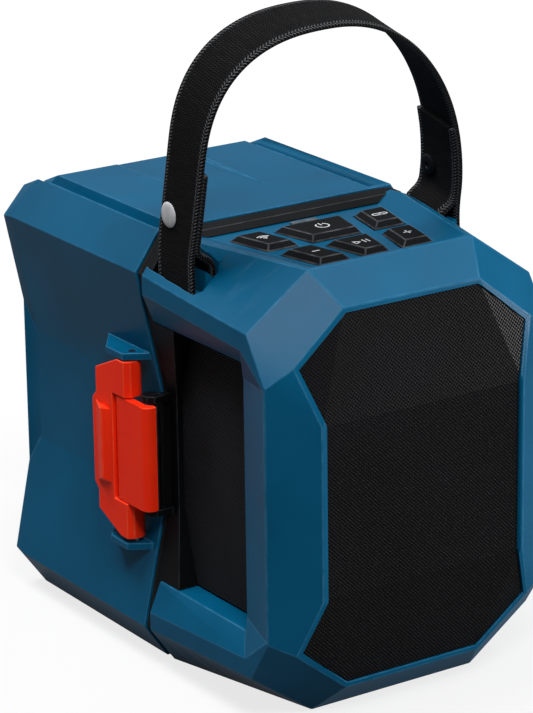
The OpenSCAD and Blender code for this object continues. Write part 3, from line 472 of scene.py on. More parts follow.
@dataclass(frozen=True)
class BrushedFinish:
    """Bare or plated metal with drawn lines."""

    name: str
    dull: Triple
    bright: Triple
    roughness: float = 0.3
    metallic: float = 1.0
    fine: float = 1400.0
    specular: float = 0.5
    spread: tuple[float, float] = (-0.08, 0.1)
    depth: float = 0.00001

    def build(self) -> Material:
        """Builds the material.

        Returns:
            The material.
        """
        blank = Blank(self.name, self.specular, self.metallic)
        lines = blank.effect(Effect.BRUSH, Fine=self.fine)
        blank.drive("Base Color", blank.mix(lines["Tone"], screen(self.dull), screen(self.bright)))
        rough = blank.ramp(lines["Tone"], 0.0, 1.0, *(self.roughness + s for s in self.spread))
        blank.drive("Roughness", rough)
        blank.bump(lines["Height"], self.depth)
        return blank.material


@dataclass(frozen=True)
class BoardFinish:
    """Circuit board with fine tracks under its mask."""

    name: str
    mask: Triple
    track: Triple
    tracks: float = 160.0
    gap: float = 0.06
    fine: float = 1500.0
    slow: float = 60.0
    wash: tuple[float, ...] = (0.2, 0.8, 0.3, 1.0)
    roughness: tuple[float, float] = (0.34, 0.5)
    specular: float = 0.5
    depth: float = 0.00003

    def build(self) -> Material:
        """Builds the material.

        Returns:
            The material.
        """
        blank = Blank(self.name, self.specular)
        where = blank.place["Object"]
        sizes = {"Scale": self.tracks, "Mortar_Size": self.gap}
        bricks = blank.add("ShaderNodeTexBrick", Vector=where, **sizes)
        line = bricks.outputs["Fac"]
        tone = blank.effect(Effect.GRAIN, Fine=self.fine, Slow=self.slow)["Tone"]
        share = blank.times(line, blank.ramp(tone, *self.wash))
        blank.drive("Base Color", blank.mix(share, screen(self.mask), screen(self.track)))
        blank.drive("Roughness", blank.ramp(tone, 0.0, 1.0, *self.roughness))
        blank.bump(line, self.depth)
        return blank.material


class Paint(Enum):
    """The finishes of the speaker."""

    # The third colour of each moulded finish is its lighter edge colour, which paints rub wear and
    # edge highlight.
    BLUE = MouldedFinish(
        "satin_blue", (0, 75, 108), (4, 83, 118), (62, 120, 156), 0.3, 0.08, rub_and_highlight=0.4
    )
    BLACK = MouldedFinish(
        "satin_black", (8, 8, 10), (13, 14, 16), (56, 58, 62), 0.45, 0.08, rub_and_highlight=0.45
    )
    KEY = MouldedFinish(
        "key_skin", (12, 13, 14), (19, 20, 22), (96, 98, 102), 0.5, 0.03, 3200.0, rub_and_highlight=0.55
    )
    TRIM = MouldedFinish(
        "trim_rubber", (17, 18, 19), (24, 25, 27), (84, 86, 90), 0.5, 0.05, 3000.0, rub_and_highlight=0.45
    )
    RED = MouldedFinish(
        "latch_red", (247, 43, 14), (255, 52, 18), (255, 104, 66), 0.34, 0.08, 2400.0, rub_and_highlight=0.4
    )
    RUBBER = MouldedFinish(
        "foot_rubber", (18, 18, 19), (27, 27, 28), (66, 66, 66), 0.75, 0.15, 2000.0, depth=0.00008
    )
    BASKET = MouldedFinish("basket_paint", (26, 27, 29), (38, 39, 42), (90, 90, 94), 0.4, 0.4)
    CONE = MouldedFinish(
        "cone_paper", (20, 20, 21), (33, 33, 34), (60, 60, 62), 0.8, 0.2, 900.0, 60.0, 0.00016
    )
    GRILLE = PerforatedFinish("grille_sheet", (9, 9, 11), (14, 14, 17), (2, 2, 3), 1.15 * MM, 0.33)
    MESH = MouldedFinish(
        "mesh_rib", (21, 22, 24), (31, 32, 36), (66, 68, 72), 0.5, 0.12, 2000.0, rub_and_highlight=0.6
    )
    WEB = WebbingFinish("strap_webbing", (3, 3, 4), (92, 93, 96))
    STEEL = BrushedFinish("drawn_steel", (104, 106, 110), (146, 148, 152))
    BLUED = BrushedFinish("blued_steel", (34, 35, 38), (56, 57, 60), 0.45)
    BRASS = BrushedFinish("plated_brass", (176, 140, 62), (220, 186, 104))
    RIVET = BrushedFinish("rivet_cap", (166, 167, 170), (190, 191, 194), 0.42, 0.15, 700.0)
    BOARD = BoardFinish("board_lacquer", (8, 60, 34), (40, 112, 64))
    LENS = MouldedFinish(
        "light_bar", (62, 70, 78), (92, 101, 109), (92, 101, 109), 0.3, 0.1, 1200.0, 300.0, 0.00002,
        spread=(-0.08, 0.1),
    )
    PRINT = MouldedFinish(
        "icon_print", (176, 178, 180), (204, 206, 208), (230, 230, 230), 0.55, 0.3, 3000.0, 900.0
    )

    def material(self) -> Material:
        """Returns the finish's material, built on first use."""
        return bpy.data.materials.get(self.value.name) or self.value.build()


def dress(obj: Object, paint: Paint) -> None:
    """Gives an object one finish in all its slots.

    Args:
        obj: The object.
        paint: The finish.
    """
    material = paint.material()
    if not obj.data.materials:
        obj.data.materials.append(material)
    for index in range(len(obj.data.materials)):
        obj.data.materials[index] = material


def link(name: str, data: ID) -> Object:
    """Puts new data into the scene.

    Args:
        name: Name of the object.
        data: Its mesh, lamp or camera.

    Returns:
        The object.
    """
    obj = bpy.data.objects.new(name, data)
    bpy.context.scene.collection.objects.link(obj)
    return obj


def link_mesh(name: str, bm: BMesh) -> Object:
    """Puts a bmesh into the scene.

    Args:
        name: Name of the object and of its mesh.
        bm: The bmesh, which is freed.

    Returns:
        The object.
    """
    mesh = bpy.data.meshes.new(name)
    bm.to_mesh(mesh)
    bm.free()
    return link(name, mesh)


def new_piece(name: str, bm: BMesh, paint: Paint, smooth: float = 32.0) -> Object:
    """Turns a bmesh into a finished object at the origin.

    Args:
        name: Name of the piece.
        bm: The mesh, which is freed.
        paint: Its finish.
        smooth: Edges flatter than this angle are shaded smooth, in degrees.

    Returns:
        The object, not yet riding on a body.
    """
    obj = link_mesh(name, bm)
    obj.data.shade_smooth()
    obj.data.set_sharp_from_angle(angle=math.radians(smooth))
    dress(obj, paint)
    return obj


def round_edges(bm: BMesh, edges: Iterable[BMEdge], width: float, segments: int) -> list[BMFace]:
    """Rounds edges of a mesh.

    Args:
        bm: The mesh.
        edges: The edges.
        width: How far the rounding reaches from each edge, in metres.
        segments: Strips across the rounding.

    Returns:
        The rounding's faces.
    """
    made = bmesh.ops.bevel(
        bm, geom=list(edges), offset=width, offset_type="OFFSET", segments=segments, profile=0.5,
        affect="EDGES", material=-1, clamp_overlap=False, loop_slide=True,
    )
    return made["faces"]


@dataclass
class Skin:
    """A copy of one CAD node with its sharp edges rounded, shown in the node's place."""

    node: str
    body: str
    slot: str
    paint: Paint
    width: float = 0.45 * MM
    segments: int = 2
    sharp: float = 20.0
    smooth: float = 35.0
    flat: float = 0.5
    fold: float = 3.0
    broad: float = 40.0 * MM * MM
    room: float = 0.45
    least: float = 1e-3
    weld: float = 4e-6
    near: float = 0.1 * MM
    meets: Pairs = ()
    moves: tuple[tuple[Triple, Triple], ...] = ()

    def build(self) -> Object:
        """Builds the piece.

        Returns:
            The piece.
        """
        bm = bmesh.new()
        bm.from_mesh(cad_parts[self.node].data)
        bmesh.ops.remove_doubles(bm, verts=bm.verts, dist=self.weld)
        bmesh.ops.dissolve_limit(
            bm, angle_limit=math.radians(self.flat), use_dissolve_boundaries=False,
            verts=bm.verts, edges=bm.edges,
        )
        self.shape(bm)
        # Rounded faces are marked, and the finish paints them lighter as rub wear and painted
        # highlight.
        mark = bm.faces.layers.float.new(EDGE_MARK)
        for face in round_edges(bm, self.edges(bm), self.width, self.segments):
            face[mark] = 1.0
        obj = new_piece(self.node + "_skin", bm, self.paint, self.smooth)
        self.crease(obj.data)
        obj.modifiers.new("face_weight", "WEIGHTED_NORMAL").keep_sharp = True
        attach(obj, self.body)
        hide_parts(self.node)
        return obj

    def shape(self, bm: BMesh) -> None:
        """Presses the chosen faces against their neighbours and moves the chosen corners.

        Args:
            bm: The mesh before its edges are rounded.
        """
        for level, shift in self.meets:
            face = [v for v in bm.verts if abs(v.co.y - level) < self.near]
            bmesh.ops.translate(bm, verts=face, vec=(0.0, shift, 0.0))
        for (x, y, z), (out, back, up) in self.moves:
            for vert in bm.verts:
                side = math.copysign(1.0, vert.co.x)
                if (vert.co - mm(side * x, y, z)).length < self.near:
                    vert.co += mm(side * out, back, up)

    def crease(self, mesh: Mesh) -> None:
        """Keeps the shallow folds between two broad facets crisp.

        Args:
            mesh: The finished mesh with its edge marks.
        """
        marks = mesh.attributes[EDGE_MARK].data
        beside: dict[tuple[int, int], list[MeshPolygon]] = {}
        for polygon in mesh.polygons:
            if marks[polygon.index].value < 0.5 and polygon.area > self.broad:
                for key in polygon.edge_keys:
                    beside.setdefault(key, []).append(polygon)
        for edge in mesh.edges:
            pair = beside.get(edge.key, [])
            if len(pair) == 2 and pair[0].normal.angle(pair[1].normal) > math.radians(self.fold):
                edge.use_edge_sharp = True

    def edges(self, bm: BMesh) -> set[BMEdge]:
        """Picks the sharp edges that have room for the rounding.

        Args:
            bm: The mesh.

        Returns:
            The edges to round.
        """
        limit = math.radians(self.sharp)
        chosen = {e for e in bm.edges if len(e.link_faces) == 2 and e.calc_face_angle(0.0) > limit}
        crowded = chosen
        while crowded:
            corners = (corner for face in bm.faces for corner in face.loops)
            crowded = set().union(*(self.crowded(corner, chosen) for corner in corners))
            chosen = chosen - crowded
        return chosen

    def crowded(self, corner: BMLoop, chosen: set[BMEdge]) -> set[BMEdge]:
        """Finds the edge that leaves the rounding no room in one corner of a face.

        Args:
            corner: The corner.
            chosen: The edges still to be rounded.

        Returns:
            The edge, or nothing.
        """
        pair = [corner.edge, corner.link_loop_prev.edge]
        picked = [e for e in pair if e in chosen]
        angle = corner.calc_angle()
        if len(picked) == 2:
            short = min(picked, key=lambda e: e.calc_length())
            need = self.width / max(math.tan(angle / 2), self.least)
            return {short} if need > self.room * short.calc_length() else set()
        if len(picked) == 1:
            other = pair[0] if picked[0] is pair[1] else pair[1]
            need = self.width / max(math.sin(angle), self.least)
            return set(picked) if need > 2 * self.room * other.calc_length() else set()
        return set()


@dataclass
class Shells:
    """The blue head and door, the black frame and the gasket between them, and the deck's trim.

    Some corners of the door's top are moved alike on both sides, given by their place and their
    way out, back and up in millimetres: the bevel behind the top starts further forward than in the
    solid, and the side walls of its dip are laid back.
    """

    edge: float = 0.45 * MM
    frame_edge: float = 0.35 * MM
    gasket_edge: float = 0.1 * MM
    trim_edge: float = 0.3 * MM
    head_end: float = 12.3 * MM
    gasket_end: float = 16.6 * MM
    press: float = 0.28 * MM
    door_moves: tuple[tuple[Triple, Triple], ...] = (
        ((27.0, 66.9, 184.0), (-11.0, -10.9, 0.0)),
        ((27.0, 118.17, 182.38), (-10.6, -4.1665, 0.3272)),
        ((27.0, 115.9, 184.0), (-8.8, -5.0, 0.0)),
        ((47.0, 115.9, 184.0), (0.0, -5.0, 0.0)),
        ((57.0, 115.9, 184.0), (0.0, -5.0, 0.0)),
    )

    def build(self) -> list[Object]:
        """Builds the shells, with frame and gasket pressed between them.

        Returns:
            The pieces.
        """
        to_head = ((self.head_end, -self.press),)
        to_door = ((self.gasket_end, self.press),)
        skins = [
            Skin("front_housing", "head", "blue_shell", Paint.BLUE, self.edge, sharp=12.0),
            Skin("rear_door", "door", "blue_shell", Paint.BLUE, self.edge, moves=self.door_moves),
            Skin("mid_frame", "head", "black_plastic", Paint.BLACK, self.frame_edge, meets=to_head),
            Skin("door_gasket", "head", "rubber", Paint.RUBBER, self.gasket_edge, meets=to_door),
            Skin(
                "deck_trim", "head", "key_rubber", Paint.TRIM, self.trim_edge,
                sharp=8.0, smooth=14.0,
            ),
        ]
        return [skin.build() for skin in skins]


@dataclass
class SideMesh:
    """The ribbed black meshes in the two side windows."""

    pitch: float = 1.1 * MM
    rib: float = 0.62
    rounding: float = 0.22 * MM
    segments: int = 2
    smooth: float = 50.0
    sheet_front: float = 0.8 * MM
    sheet_back: float = 1.9 * MM
    rib_back: float = 0.9 * MM
    post_high: float = 24.0 * MM
    post_deep: float = 9.0 * MM

    def build(self) -> list[Object]:
        """Builds both meshes and returns them."""
        return [self.mesh("side_mesh_left", -1), self.mesh("side_mesh_right", 1)]

    def mesh(self, node: str, side: int) -> Object:
        """Builds one mesh: a backing sheet with rounded ribs across it.

        Args:
            node: The CAD node that it stands for.
            side: -1 for the left, 1 for the right.

        Returns:
            The piece.
        """
        low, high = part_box(node)
        face = low.x if side < 0 else high.x
        depths = (self.sheet_front, self.sheet_back, self.rib_back)
        front, back, root = (face - side * depth for depth in depths)
        bm = bmesh.new()
        self.bar(bm, (front, low.y, low.z), (back, high.y, high.z))
        ribs = int((high.z - low.z) / self.pitch)
        first = low.z + (high.z - low.z - ribs * self.pitch) / 2
        for index in range(ribs):
            z = first + index * self.pitch
            rib = self.bar(bm, (face, low.y, z), (root, high.y, z + self.pitch * self.rib))
            outer = {v for v in rib if abs(v.co.x - face) < self.rounding}
            edges = {e for v in outer for e in v.link_edges if set(e.verts) <= outer}
            long = [e for e in edges if abs(e.verts[0].co.y - e.verts[1].co.y) > self.pitch]
            round_edges(bm, long, self.rounding, self.segments)
        self.trim(bm, low, high)
        obj = new_piece(node + "_ribs", bm, Paint.MESH, self.smooth)
        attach(obj, "head")
        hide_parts(node)
        return obj

    def bar(self, bm: BMesh, start: Sequence[float], end: Sequence[float]) -> list[BMVert]:
        """Adds a box between two corners.

        Args:
            bm: The mesh.
            start: One corner.
            end: The opposite corner.

        Returns:
            Its vertices.
        """
        a, b = Vector(start), Vector(end)
        matrix = Matrix.Translation((a + b) / 2) @ Matrix.Diagonal((*[abs(s) for s in b - a], 1.0))
        return bmesh.ops.create_cube(bm, size=1.0, matrix=matrix)["verts"]

    def trim(self, bm: BMesh, low: Vector, high: Vector) -> None:
        """Cuts the rear corners along the flared post.

        Args:
            bm: The mesh.
            low: Lowest corner of the node.
            high: Highest corner of the node.
        """
        middle = (low.z + high.z) / 2
        for side in (-1, 1):
            near = Vector((0.0, high.y, middle + side * self.post_high))
            far = Vector((0.0, high.y - self.post_deep, high.z if side > 0 else low.z))
            run = far - near
            cut = bmesh.ops.bisect_plane(
                bm,
                geom=bm.verts[:] + bm.edges[:] + bm.faces[:],
                plane_co=near,
                plane_no=Vector((0.0, -run.z, run.y)) * -side,
                clear_outer=True,
            )
            rims = [g for g in cut["geom_cut"] if isinstance(g, BMEdge)]
            bmesh.ops.holes_fill(bm, edges=rims, sides=0)


@dataclass(frozen=True)
class Bar:
    """A straight printed stroke: middle and length in millimetres, turn from X in degrees."""

    x: float
    y: float
    length: float
    turn: float = 0.0
    ends: float = 0.45
    segments: int = 3

    def draw(self, bm: BMesh, line: float, high: float) -> None:
        """Adds the stroke to a mesh.

        Args:
            bm: The mesh.
            line: Width of the stroke, in metres.
            high: Its height, in metres.
        """
        matrix = (
            Matrix.Translation(mm(self.x, self.y, 0) + Vector((0, 0, high / 2)))
            @ Matrix.Rotation(math.radians(self.turn), 4, "Z")
            @ Matrix.Diagonal((self.length * MM, line, high, 1.0))
        )
        stroke = bmesh.ops.create_cube(bm, size=1.0, matrix=matrix)["verts"]
        edges = {e for v in stroke for e in v.link_edges}
        upright = [e for e in edges if abs(e.verts[0].co.z - e.verts[1].co.z) > high / 2]
        round_edges(bm, upright, line * self.ends, self.segments)


@dataclass(frozen=True)
class Arc:
    """A curved printed stroke: centre and radius in millimetres, ends in degrees from X."""

    x: float
    y: float
    radius: float
    start: float
    end: float
    step: float = 8.0
    fewest: int = 6

    def draw(self, bm: BMesh, line: float, high: float) -> None:
        """Adds the stroke to a mesh.

        Args:
            bm: The mesh.
            line: Width of the stroke, in metres.
            high: Its height, in metres.
        """
        centre, a = mm(self.x, self.y, 0), math.radians(self.start)
        corners = []
        for across, up in ((-0.5, 0), (0.5, 0), (0.5, 1), (-0.5, 1)):
            reach = self.radius * MM + across * line
            spot = Vector((reach * math.cos(a), reach * math.sin(a), up * high))
            corners.append(bm.verts.new(centre + spot))
        section = bm.faces.new(corners)
        swept = self.end - self.start
        bmesh.ops.spin(
            bm,
            geom=[section, *section.edges, *section.verts],
            cent=centre,
            axis=(0, 0, 1),
            angle=math.radians(swept),
            steps=max(self.fewest, int(swept / self.step)),
        )


class Sign(Enum):
    """Generic signs on the keys, each by its strokes."""

    POWER = (Arc(0, 0, 2.7, 120, 420), Bar(0, 1.9, 3.0, 90))
    WAVES = (*(Arc(0, -1.9, radius, 45, 135) for radius in (1.2, 2.5, 3.8)), Bar(0, -1.8, 0.7))
    LINK = tuple(
        stroke
        for x in (-1.55, 1.55)
        for stroke in (
            Arc(x - 0.75, 0, 1.05, 90, 270),
            Arc(x + 0.75, 0, 1.05, -90, 90),
            Bar(x, -1.05, 1.6),
            Bar(x, 1.05, 1.6),
        )
    )
    MINUS = (Bar(0, 0, 3.6),)
    PLAY = (
        Bar(-3.6, 0, 3.4, 90),
        Bar(-2.2, -0.8, 3.3, 30),
        Bar(-2.2, 0.8, 3.3, -30),
        Bar(0.9, 0, 3.4, 90),
        Bar(2.7, 0, 3.4, 90),
    )
    PLUS = (Bar(0, 0, 4.0), Bar(0, 0, 4.0, 90))


@dataclass
class Keys:
    """The six pyramid keys and their printed signs."""

    edge: float = 0.4 * MM
    segments: int = 3
    line: float = 0.62 * MM
    print_t: float = 0.12 * MM
    sink: float = 0.06 * MM
    signs: dict[str, Sign] = field(
        default_factory=lambda: {
            "power": Sign.POWER,
            "pair": Sign.WAVES,
            "link": Sign.LINK,
            "minus": Sign.MINUS,
            "play": Sign.PLAY,
            "plus": Sign.PLUS,
        }
    )

    def build(self) -> list[Object]:
        """Builds keys and signs.

        Returns:
            The pieces.
        """
        made = []
        for key, sign in self.signs.items():
            node, body = f"button_{key}", f"{key}_key"
            skin = Skin(node, body, "key_rubber", Paint.KEY, self.edge, self.segments)
            made.append(skin.build())
            made.append(self.sign(node, body, sign))
        return made

    def sign(self, node: str, body: str, sign: Sign) -> Object:
        """Builds the printed sign of one key, a thin inlay in its top face.

        Args:
            node: The key's CAD node.
            body: The key's body.
            sign: Which sign.

        Returns:
            The piece.
        """
        low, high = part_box(node)
        bm = bmesh.new()
        for stroke in sign.value:
            stroke.draw(bm, self.line, self.print_t)
        bmesh.ops.recalc_face_normals(bm, faces=bm.faces)
        top = Vector(((low.x + high.x) / 2, (low.y + high.y) / 2, high.z - self.sink))
        bmesh.ops.translate(bm, verts=bm.verts, vec=top)
        obj = new_piece(f"sign_{sign.name.lower()}", bm, Paint.PRINT)
        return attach(obj, body)


@dataclass
class CarryStrap:
    """The webbing: an arch with its ends looped round bars in the head and riveted to themselves.

    Sizes are in millimetres and degrees. The section lists shares of the half width with the band's
    thickness there. Dome and ring list a rivet's radius and height from its axis outwards and back.
    """

    width: float = 25.0
    thick: float = 1.9
    section: Pairs = (
        (0.0, 1.0), (0.5, 1.0), (0.78, 1.08), (0.9, 1.08), (0.97, 0.85), (1.0, 0.45)
    )
    leg_x: float = 64.1
    layer: float = 1.95
    axis_y: float = -8.1
    axis_z: float = 182.0
    lean: float = 12.0
    bend_low: float = 170.0
    bend_high: float = 196.0
    rise: float = 93.0
    leg: float = 42.0
    peak: float = 10.0
    shoulder: float = 2.6
    tail: tuple[float, ...] = (38.0, 30.0, 24.0, 18.0, 13.0, 9.0, 6.0)
    bar_x: float = 59.3
    bar_z: float = 165.0
    loop: float = 4.8
    turn_in: float = 4.2
    pulls: tuple[float, float] = (0.3, 1.4)
    fold_steps: int = 12
    leg_up: tuple[float, ...] = (6.0, 12.0, 18.0)
    leg_steps: int = 3
    arch_step: int = 3
    loop_step: int = 15
    fold: float = 0.7
    fold_reach: float = 6.0
    slack: float = 0.4
    spacing: float = 2.2
    softened: int = 2
    smooth: float = 60.0
    rib: float = 1.05
    rivet_h: float = 14.0
    rivet_back: float = 6.0
    rivet_gap: float = 0.1
    rivet_sides: int = 40
    rivet_smooth: float = 40.0
    rivet_weld: float = 1e-6
    dome: Pairs = (
        (0, 1.35), (2.4, 1.28), (4.0, 1.0), (4.9, 0.6), (5.15, 0.25), (5.0, 0), (0, 0)
    )
    ring: Pairs = (
        (0, -0.5), (1.2, -0.55), (1.5, -1.1), (3.2, -1.2),
        (4.3, -0.9), (4.75, -0.4), (4.6, 0), (0, 0),
    )

    def build(self) -> list[Object]:
        """Builds webbing, rivet caps and rivet backs.

        Returns:
            The pieces.
        """
        band, outer = self.webbing(), self.thick / 2 + self.rivet_gap
        caps = self.rivets("rivet_domes", self.dome, outer, Paint.RIVET)
        inner = -outer - self.layer
        backs = self.rivets("rivet_rings", self.ring, inner, Paint.BLACK)
        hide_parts("rivet_caps")
        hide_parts("rivet_backs")
        return [band, caps, backs]

    def arch_side(self, h: float) -> float:
        """Returns how far right of the middle the right leg stands at a height."""
        return -self.peak + (self.leg_x + self.peak) * math.sqrt(max(0.0, 1 - (h / self.rise) ** 2))

    def route(self) -> list[Vector]:
        """Lays out the band's middle line from one tail to the other, standing upright.

        Returns:
            Points in X and Z, in millimetres.
        """
        left = [Vector((-p.x, p.y)) for p in self.loop_side(lambda h: self.leg_x)]
        right = self.loop_side(self.arch_side)
        rises = (self.leg * step / self.leg_steps for step in range(self.leg_steps))
        arch = [Vector((-self.leg_x, self.axis_z + rise)) for rise in rises]
        quarter = [math.radians(a) for a in range(0, 91, self.arch_step)]
        power = 2 / self.shoulder
        for a in quarter:
            x = -self.peak - (self.leg_x - self.peak) * math.cos(a) ** power
            z = self.leg + (self.rise - self.leg) * math.sin(a) ** power
            arch.append(Vector((x, self.axis_z + z)))
        for a in quarter[-2::-1]:
            x = -self.peak + (self.leg_x + self.peak) * math.cos(a)
            arch.append(Vector((x, self.axis_z + self.rise * math.sin(a))))
        return self.even(left + arch + right[::-1])

    def loop_side(self, reach: Callable[[float], float]) -> list[Vector]:
        """Lays out one end on the right: tail, fold into the pocket, and turn round the bar.

        Args:
            reach: Gives the outer layer's X for a height above the swing line.

        Returns:
            Points in X and Z, in millimetres, from the tail's end.
        """
        points = [Vector((reach(h) - self.layer, self.axis_z + h)) for h in self.tail]
        outer, inner = self.leg_x - self.layer, self.bar_x - self.loop
        high, low = self.axis_z + self.turn_in, self.axis_z - self.turn_in
        p0, p3 = Vector((outer, high)), Vector((inner, low))
        p1, p2 = (Vector((x, self.axis_z + pull)) for x, pull in zip((outer, inner), self.pulls))
        for step in range(self.fold_steps + 1):
            u = step / self.fold_steps
            v = 1 - u
            points.append(p0 * v**3 + p1 * 3 * u * v**2 + p2 * 3 * u * u * v + p3 * u**3)
        for a in map(math.radians, range(180, 361, self.loop_step)):
            spot = (self.bar_x + self.loop * math.cos(a), self.bar_z + self.loop * math.sin(a))
            points.append(Vector(spot))
        return points + [Vector((self.leg_x, self.bar_z + z)) for z in self.leg_up]

    def even(self, points: Sequence[Vector]) -> list[Vector]:
        """Spaces points evenly along a line and softens its corners.

        Args:
            points: The line's points.

        Returns:
            The new points.
        """
        lengths = [0.0]
        for a, b in zip(points, points[1:]):
            lengths.append(lengths[-1] + (b - a).length)
        count = int(lengths[-1] / self.spacing)
        made, index = [], 0
        for k in range(count + 1):
            goal = lengths[-1] * k / count
            while index < len(points) - 2 and lengths[index + 1] < goal:
                index += 1
            span = max(lengths[index + 1] - lengths[index], TINY)
            made.append(points[index].lerp(points[index + 1], (goal - lengths[index]) / span))
        for _ in range(self.softened):
            inside = [(a + b * 2 + c) / 4 for a, b, c in zip(made, made[1:], made[2:])]
            made = [made[0], *inside, made[-1]]
        return made

    def section_frame(self, route: Sequence[Vector], index: int) -> Matrix:
        """Stands the band's section on its route.

        Args:
            route: The band's middle line.
            index: Which of its points.

        Returns:
            The section's matrix.
        """
        here = route[index]
        along = (route[min(index + 1, len(route) - 1)] - route[max(index - 1, 0)]).normalized()
        matrix = Matrix.Identity(4)
        matrix.col[0] = Vector((along.y, 0, -along.x, 0)) * self.plump(here)
        matrix.col[1] = Vector((0, 1, 0, 0))
        matrix.col[2] = Vector((-along.x, 0, -along.y, 0))
        matrix.col[3] = Vector((here.x * MM, self.axis_y * MM, here.y * MM, 1))
        return matrix

    def plump(self, point: Vector) -> float:
        """Finds how much thicker the band's fold into the pocket makes it.

        Args:
            point: A point of the route.

        Returns:
            The factor on the thickness.
        """
        if abs(point.x) > self.leg_x - self.layer - self.slack:
            return 1.0
        return 1 + self.fold * max(0.0, 1 - abs(point.y - self.axis_z) / self.fold_reach)

    def webbing(self) -> Object:
        """Builds the band by extruding its section along the route, then leans it.

        Returns:
            The piece, baked in place and riding on no body.
        """
        route = self.route()
        bm = bmesh.new()
        along = bm.verts.layers.float.new("along")
        across = bm.verts.layers.float.new("across")
        stations = [(-share, lift) for share, lift in self.section[:0:-1]] + [*self.section]
        ring = []
        for face in (1, -1):
            for share, lift in stations[::face]:
                vert = bm.verts.new(mm(face * self.thick / 2 * lift, share * self.width / 2, 0))
                vert[across] = share * 0.5 + 0.5
                ring.append(vert)
        edges = [bm.edges.new((a, b)) for a, b in zip(ring, ring[1:] + ring[:1])]
        bmesh.ops.transform(bm, matrix=self.section_frame(route, 0), verts=ring)
        run = 0.0
        for index in range(1, len(route)):
            run += (route[index] - route[index - 1]).length / self.rib
            made = bmesh.ops.extrude_edge_only(bm, edges=edges)["geom"]
            ring = [g for g in made if isinstance(g, BMVert)]
            edges = [g for g in made if isinstance(g, BMEdge) and set(g.verts) <= set(ring)]
            last, here = (self.section_frame(route, i) for i in (index - 1, index))
            bmesh.ops.transform(bm, matrix=here @ last.inverted(), verts=ring)
            for vert in ring:
                vert[along] = run
        bmesh.ops.holes_fill(bm, edges=[e for e in bm.edges if e.is_boundary], sides=0)
        bmesh.ops.recalc_face_normals(bm, faces=bm.faces)
        chart = bm.loops.layers.uv.new("band")
        for face in bm.faces:
            for corner in face.loops:
                corner[chart].uv = (corner.vert[across], corner.vert[along])
        for vert in bm.verts:
            vert.co = self.leaned(vert.co)
        obj = new_piece("carry_webbing", bm, Paint.WEB, self.smooth)
        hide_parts("carry_strap", "strap_loop_left", "strap_loop_right")
        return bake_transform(obj)

    def leaned(self, point: Vector) -> Vector:
        """Leans a point of the upright band.

        Args:
            point: The point, in metres.

        Returns:
            Where the leaning band has it.
        """
        t = (point.z / MM - self.bend_low) / (self.bend_high - self.bend_low)
        t = min(1.0, max(0.0, t))
        turn = Matrix.Rotation(math.radians(self.lean) * t * t * (3 - 2 * t), 3, "X")
        axis = mm(0, self.axis_y, self.axis_z)
        return turn @ (point - axis) + axis

    def rivet_place(self, side: int) -> Matrix:
        """Finds a rivet's place on the band.

        Args:
            side: -1 for the left, 1 for the right.

        Returns:
            The matrix of its frame, with Z pointing away from the band.
        """
        x = self.leg_x if side < 0 else self.arch_side(self.rivet_h)
        slope = (self.leg_x + self.peak) ** 2 * self.rivet_h / (self.rise**2 * (x + self.peak))
        tilt = 0.0 if side < 0 else math.atan(slope)
        spot = Matrix.Translation(mm(side * x, self.rivet_back, self.rivet_h))
        turn = Matrix.Rotation(side * (math.pi / 2 - tilt), 4, "Y")
        lean = Matrix.Rotation(math.radians(self.lean), 4, "X")
        return Matrix.Translation(mm(0, self.axis_y, self.axis_z)) @ lean @ spot @ turn

    def rivets(self, name: str, outline: Pairs, base: float, paint: Paint) -> Object:
        """Spins an outline to a closed disc on each leg.

        Args:
            name: Name of the piece.
            outline: Radius and height of each point.
            base: Where the outline's height starts, from the band's middle.
            paint: The finish.

        Returns:
            The piece, riding on the strap.
        """
        bm = bmesh.new()
        for side in (-1, 1):
            before = set(bm.verts)
            verts = [bm.verts.new(mm(r, 0, base + z)) for r, z in outline]
            edges = [bm.edges.new((a, b)) for a, b in zip(verts, verts[1:])]
            bmesh.ops.spin(
                bm, geom=verts + edges, cent=(0, 0, 0), axis=(0, 0, 1), angle=math.tau,
                steps=self.rivet_sides, use_merge=True,
            )
            turned = [v for v in bm.verts if v not in before]
            bmesh.ops.remove_doubles(bm, verts=turned, dist=self.rivet_weld)
            turned = [v for v in bm.verts if v not in before]
            bmesh.ops.transform(bm, matrix=self.rivet_place(side), verts=turned)
        bmesh.ops.recalc_face_normals(bm, faces=bm.faces)
        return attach(new_piece(name, bm, paint, self.rivet_smooth), "strap")


@dataclass
class DrawLatch:
    """The red draw latch on the left: its lever and its hook plate."""

    edge: float = 0.4 * MM
    segments: int = 3
    bodies: tuple[str, ...] = ("lever", "hook")

    def build(self) -> list[Object]:
        """Builds the latch's pieces and returns them."""
        look = ("red_latch", Paint.RED, self.edge, self.segments)
        return [Skin(f"latch_{body}", body, *look).build() for body in self.bodies]


@dataclass
class Carried:
    """CAD nodes whose shape is shown as it is, with their finishes."""

    finishes: dict[Paint, tuple[str, ...]] = field(
        default_factory=lambda: {
            Paint.GRILLE: ("front_grille",),
            Paint.BLACK: ("speaker_baffle", "battery_dock"),
            Paint.BASKET: ("driver_basket",),
            Paint.CONE: ("driver_cone",),
            Paint.RUBBER: (
                "driver_surround", "passive_radiator_left", "passive_radiator_right",
                "front_foot", "middle_foot", "door_foot",
            ),
            Paint.BOARD: ("control_board", "main_board"),
            Paint.LENS: ("led_lens",),
            Paint.BRASS: ("dock_terminals",),
            Paint.BLUE: ("strap_bar_left", "strap_bar_right"),
            Paint.STEEL: ("driver_magnet", "frame_screws", "hinge_pin", "latch_pins", "hook_pin"),
            Paint.BLUED: ("keeper_bar",),
        }
    )

    def build(self) -> list[Object]:
        """Dresses the nodes.

        Returns:
            The nodes.
        """
        made = []
        for paint, nodes in self.finishes.items():
            for node in nodes:
                made.append(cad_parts[node])
                dress(made[-1], paint)
        return made


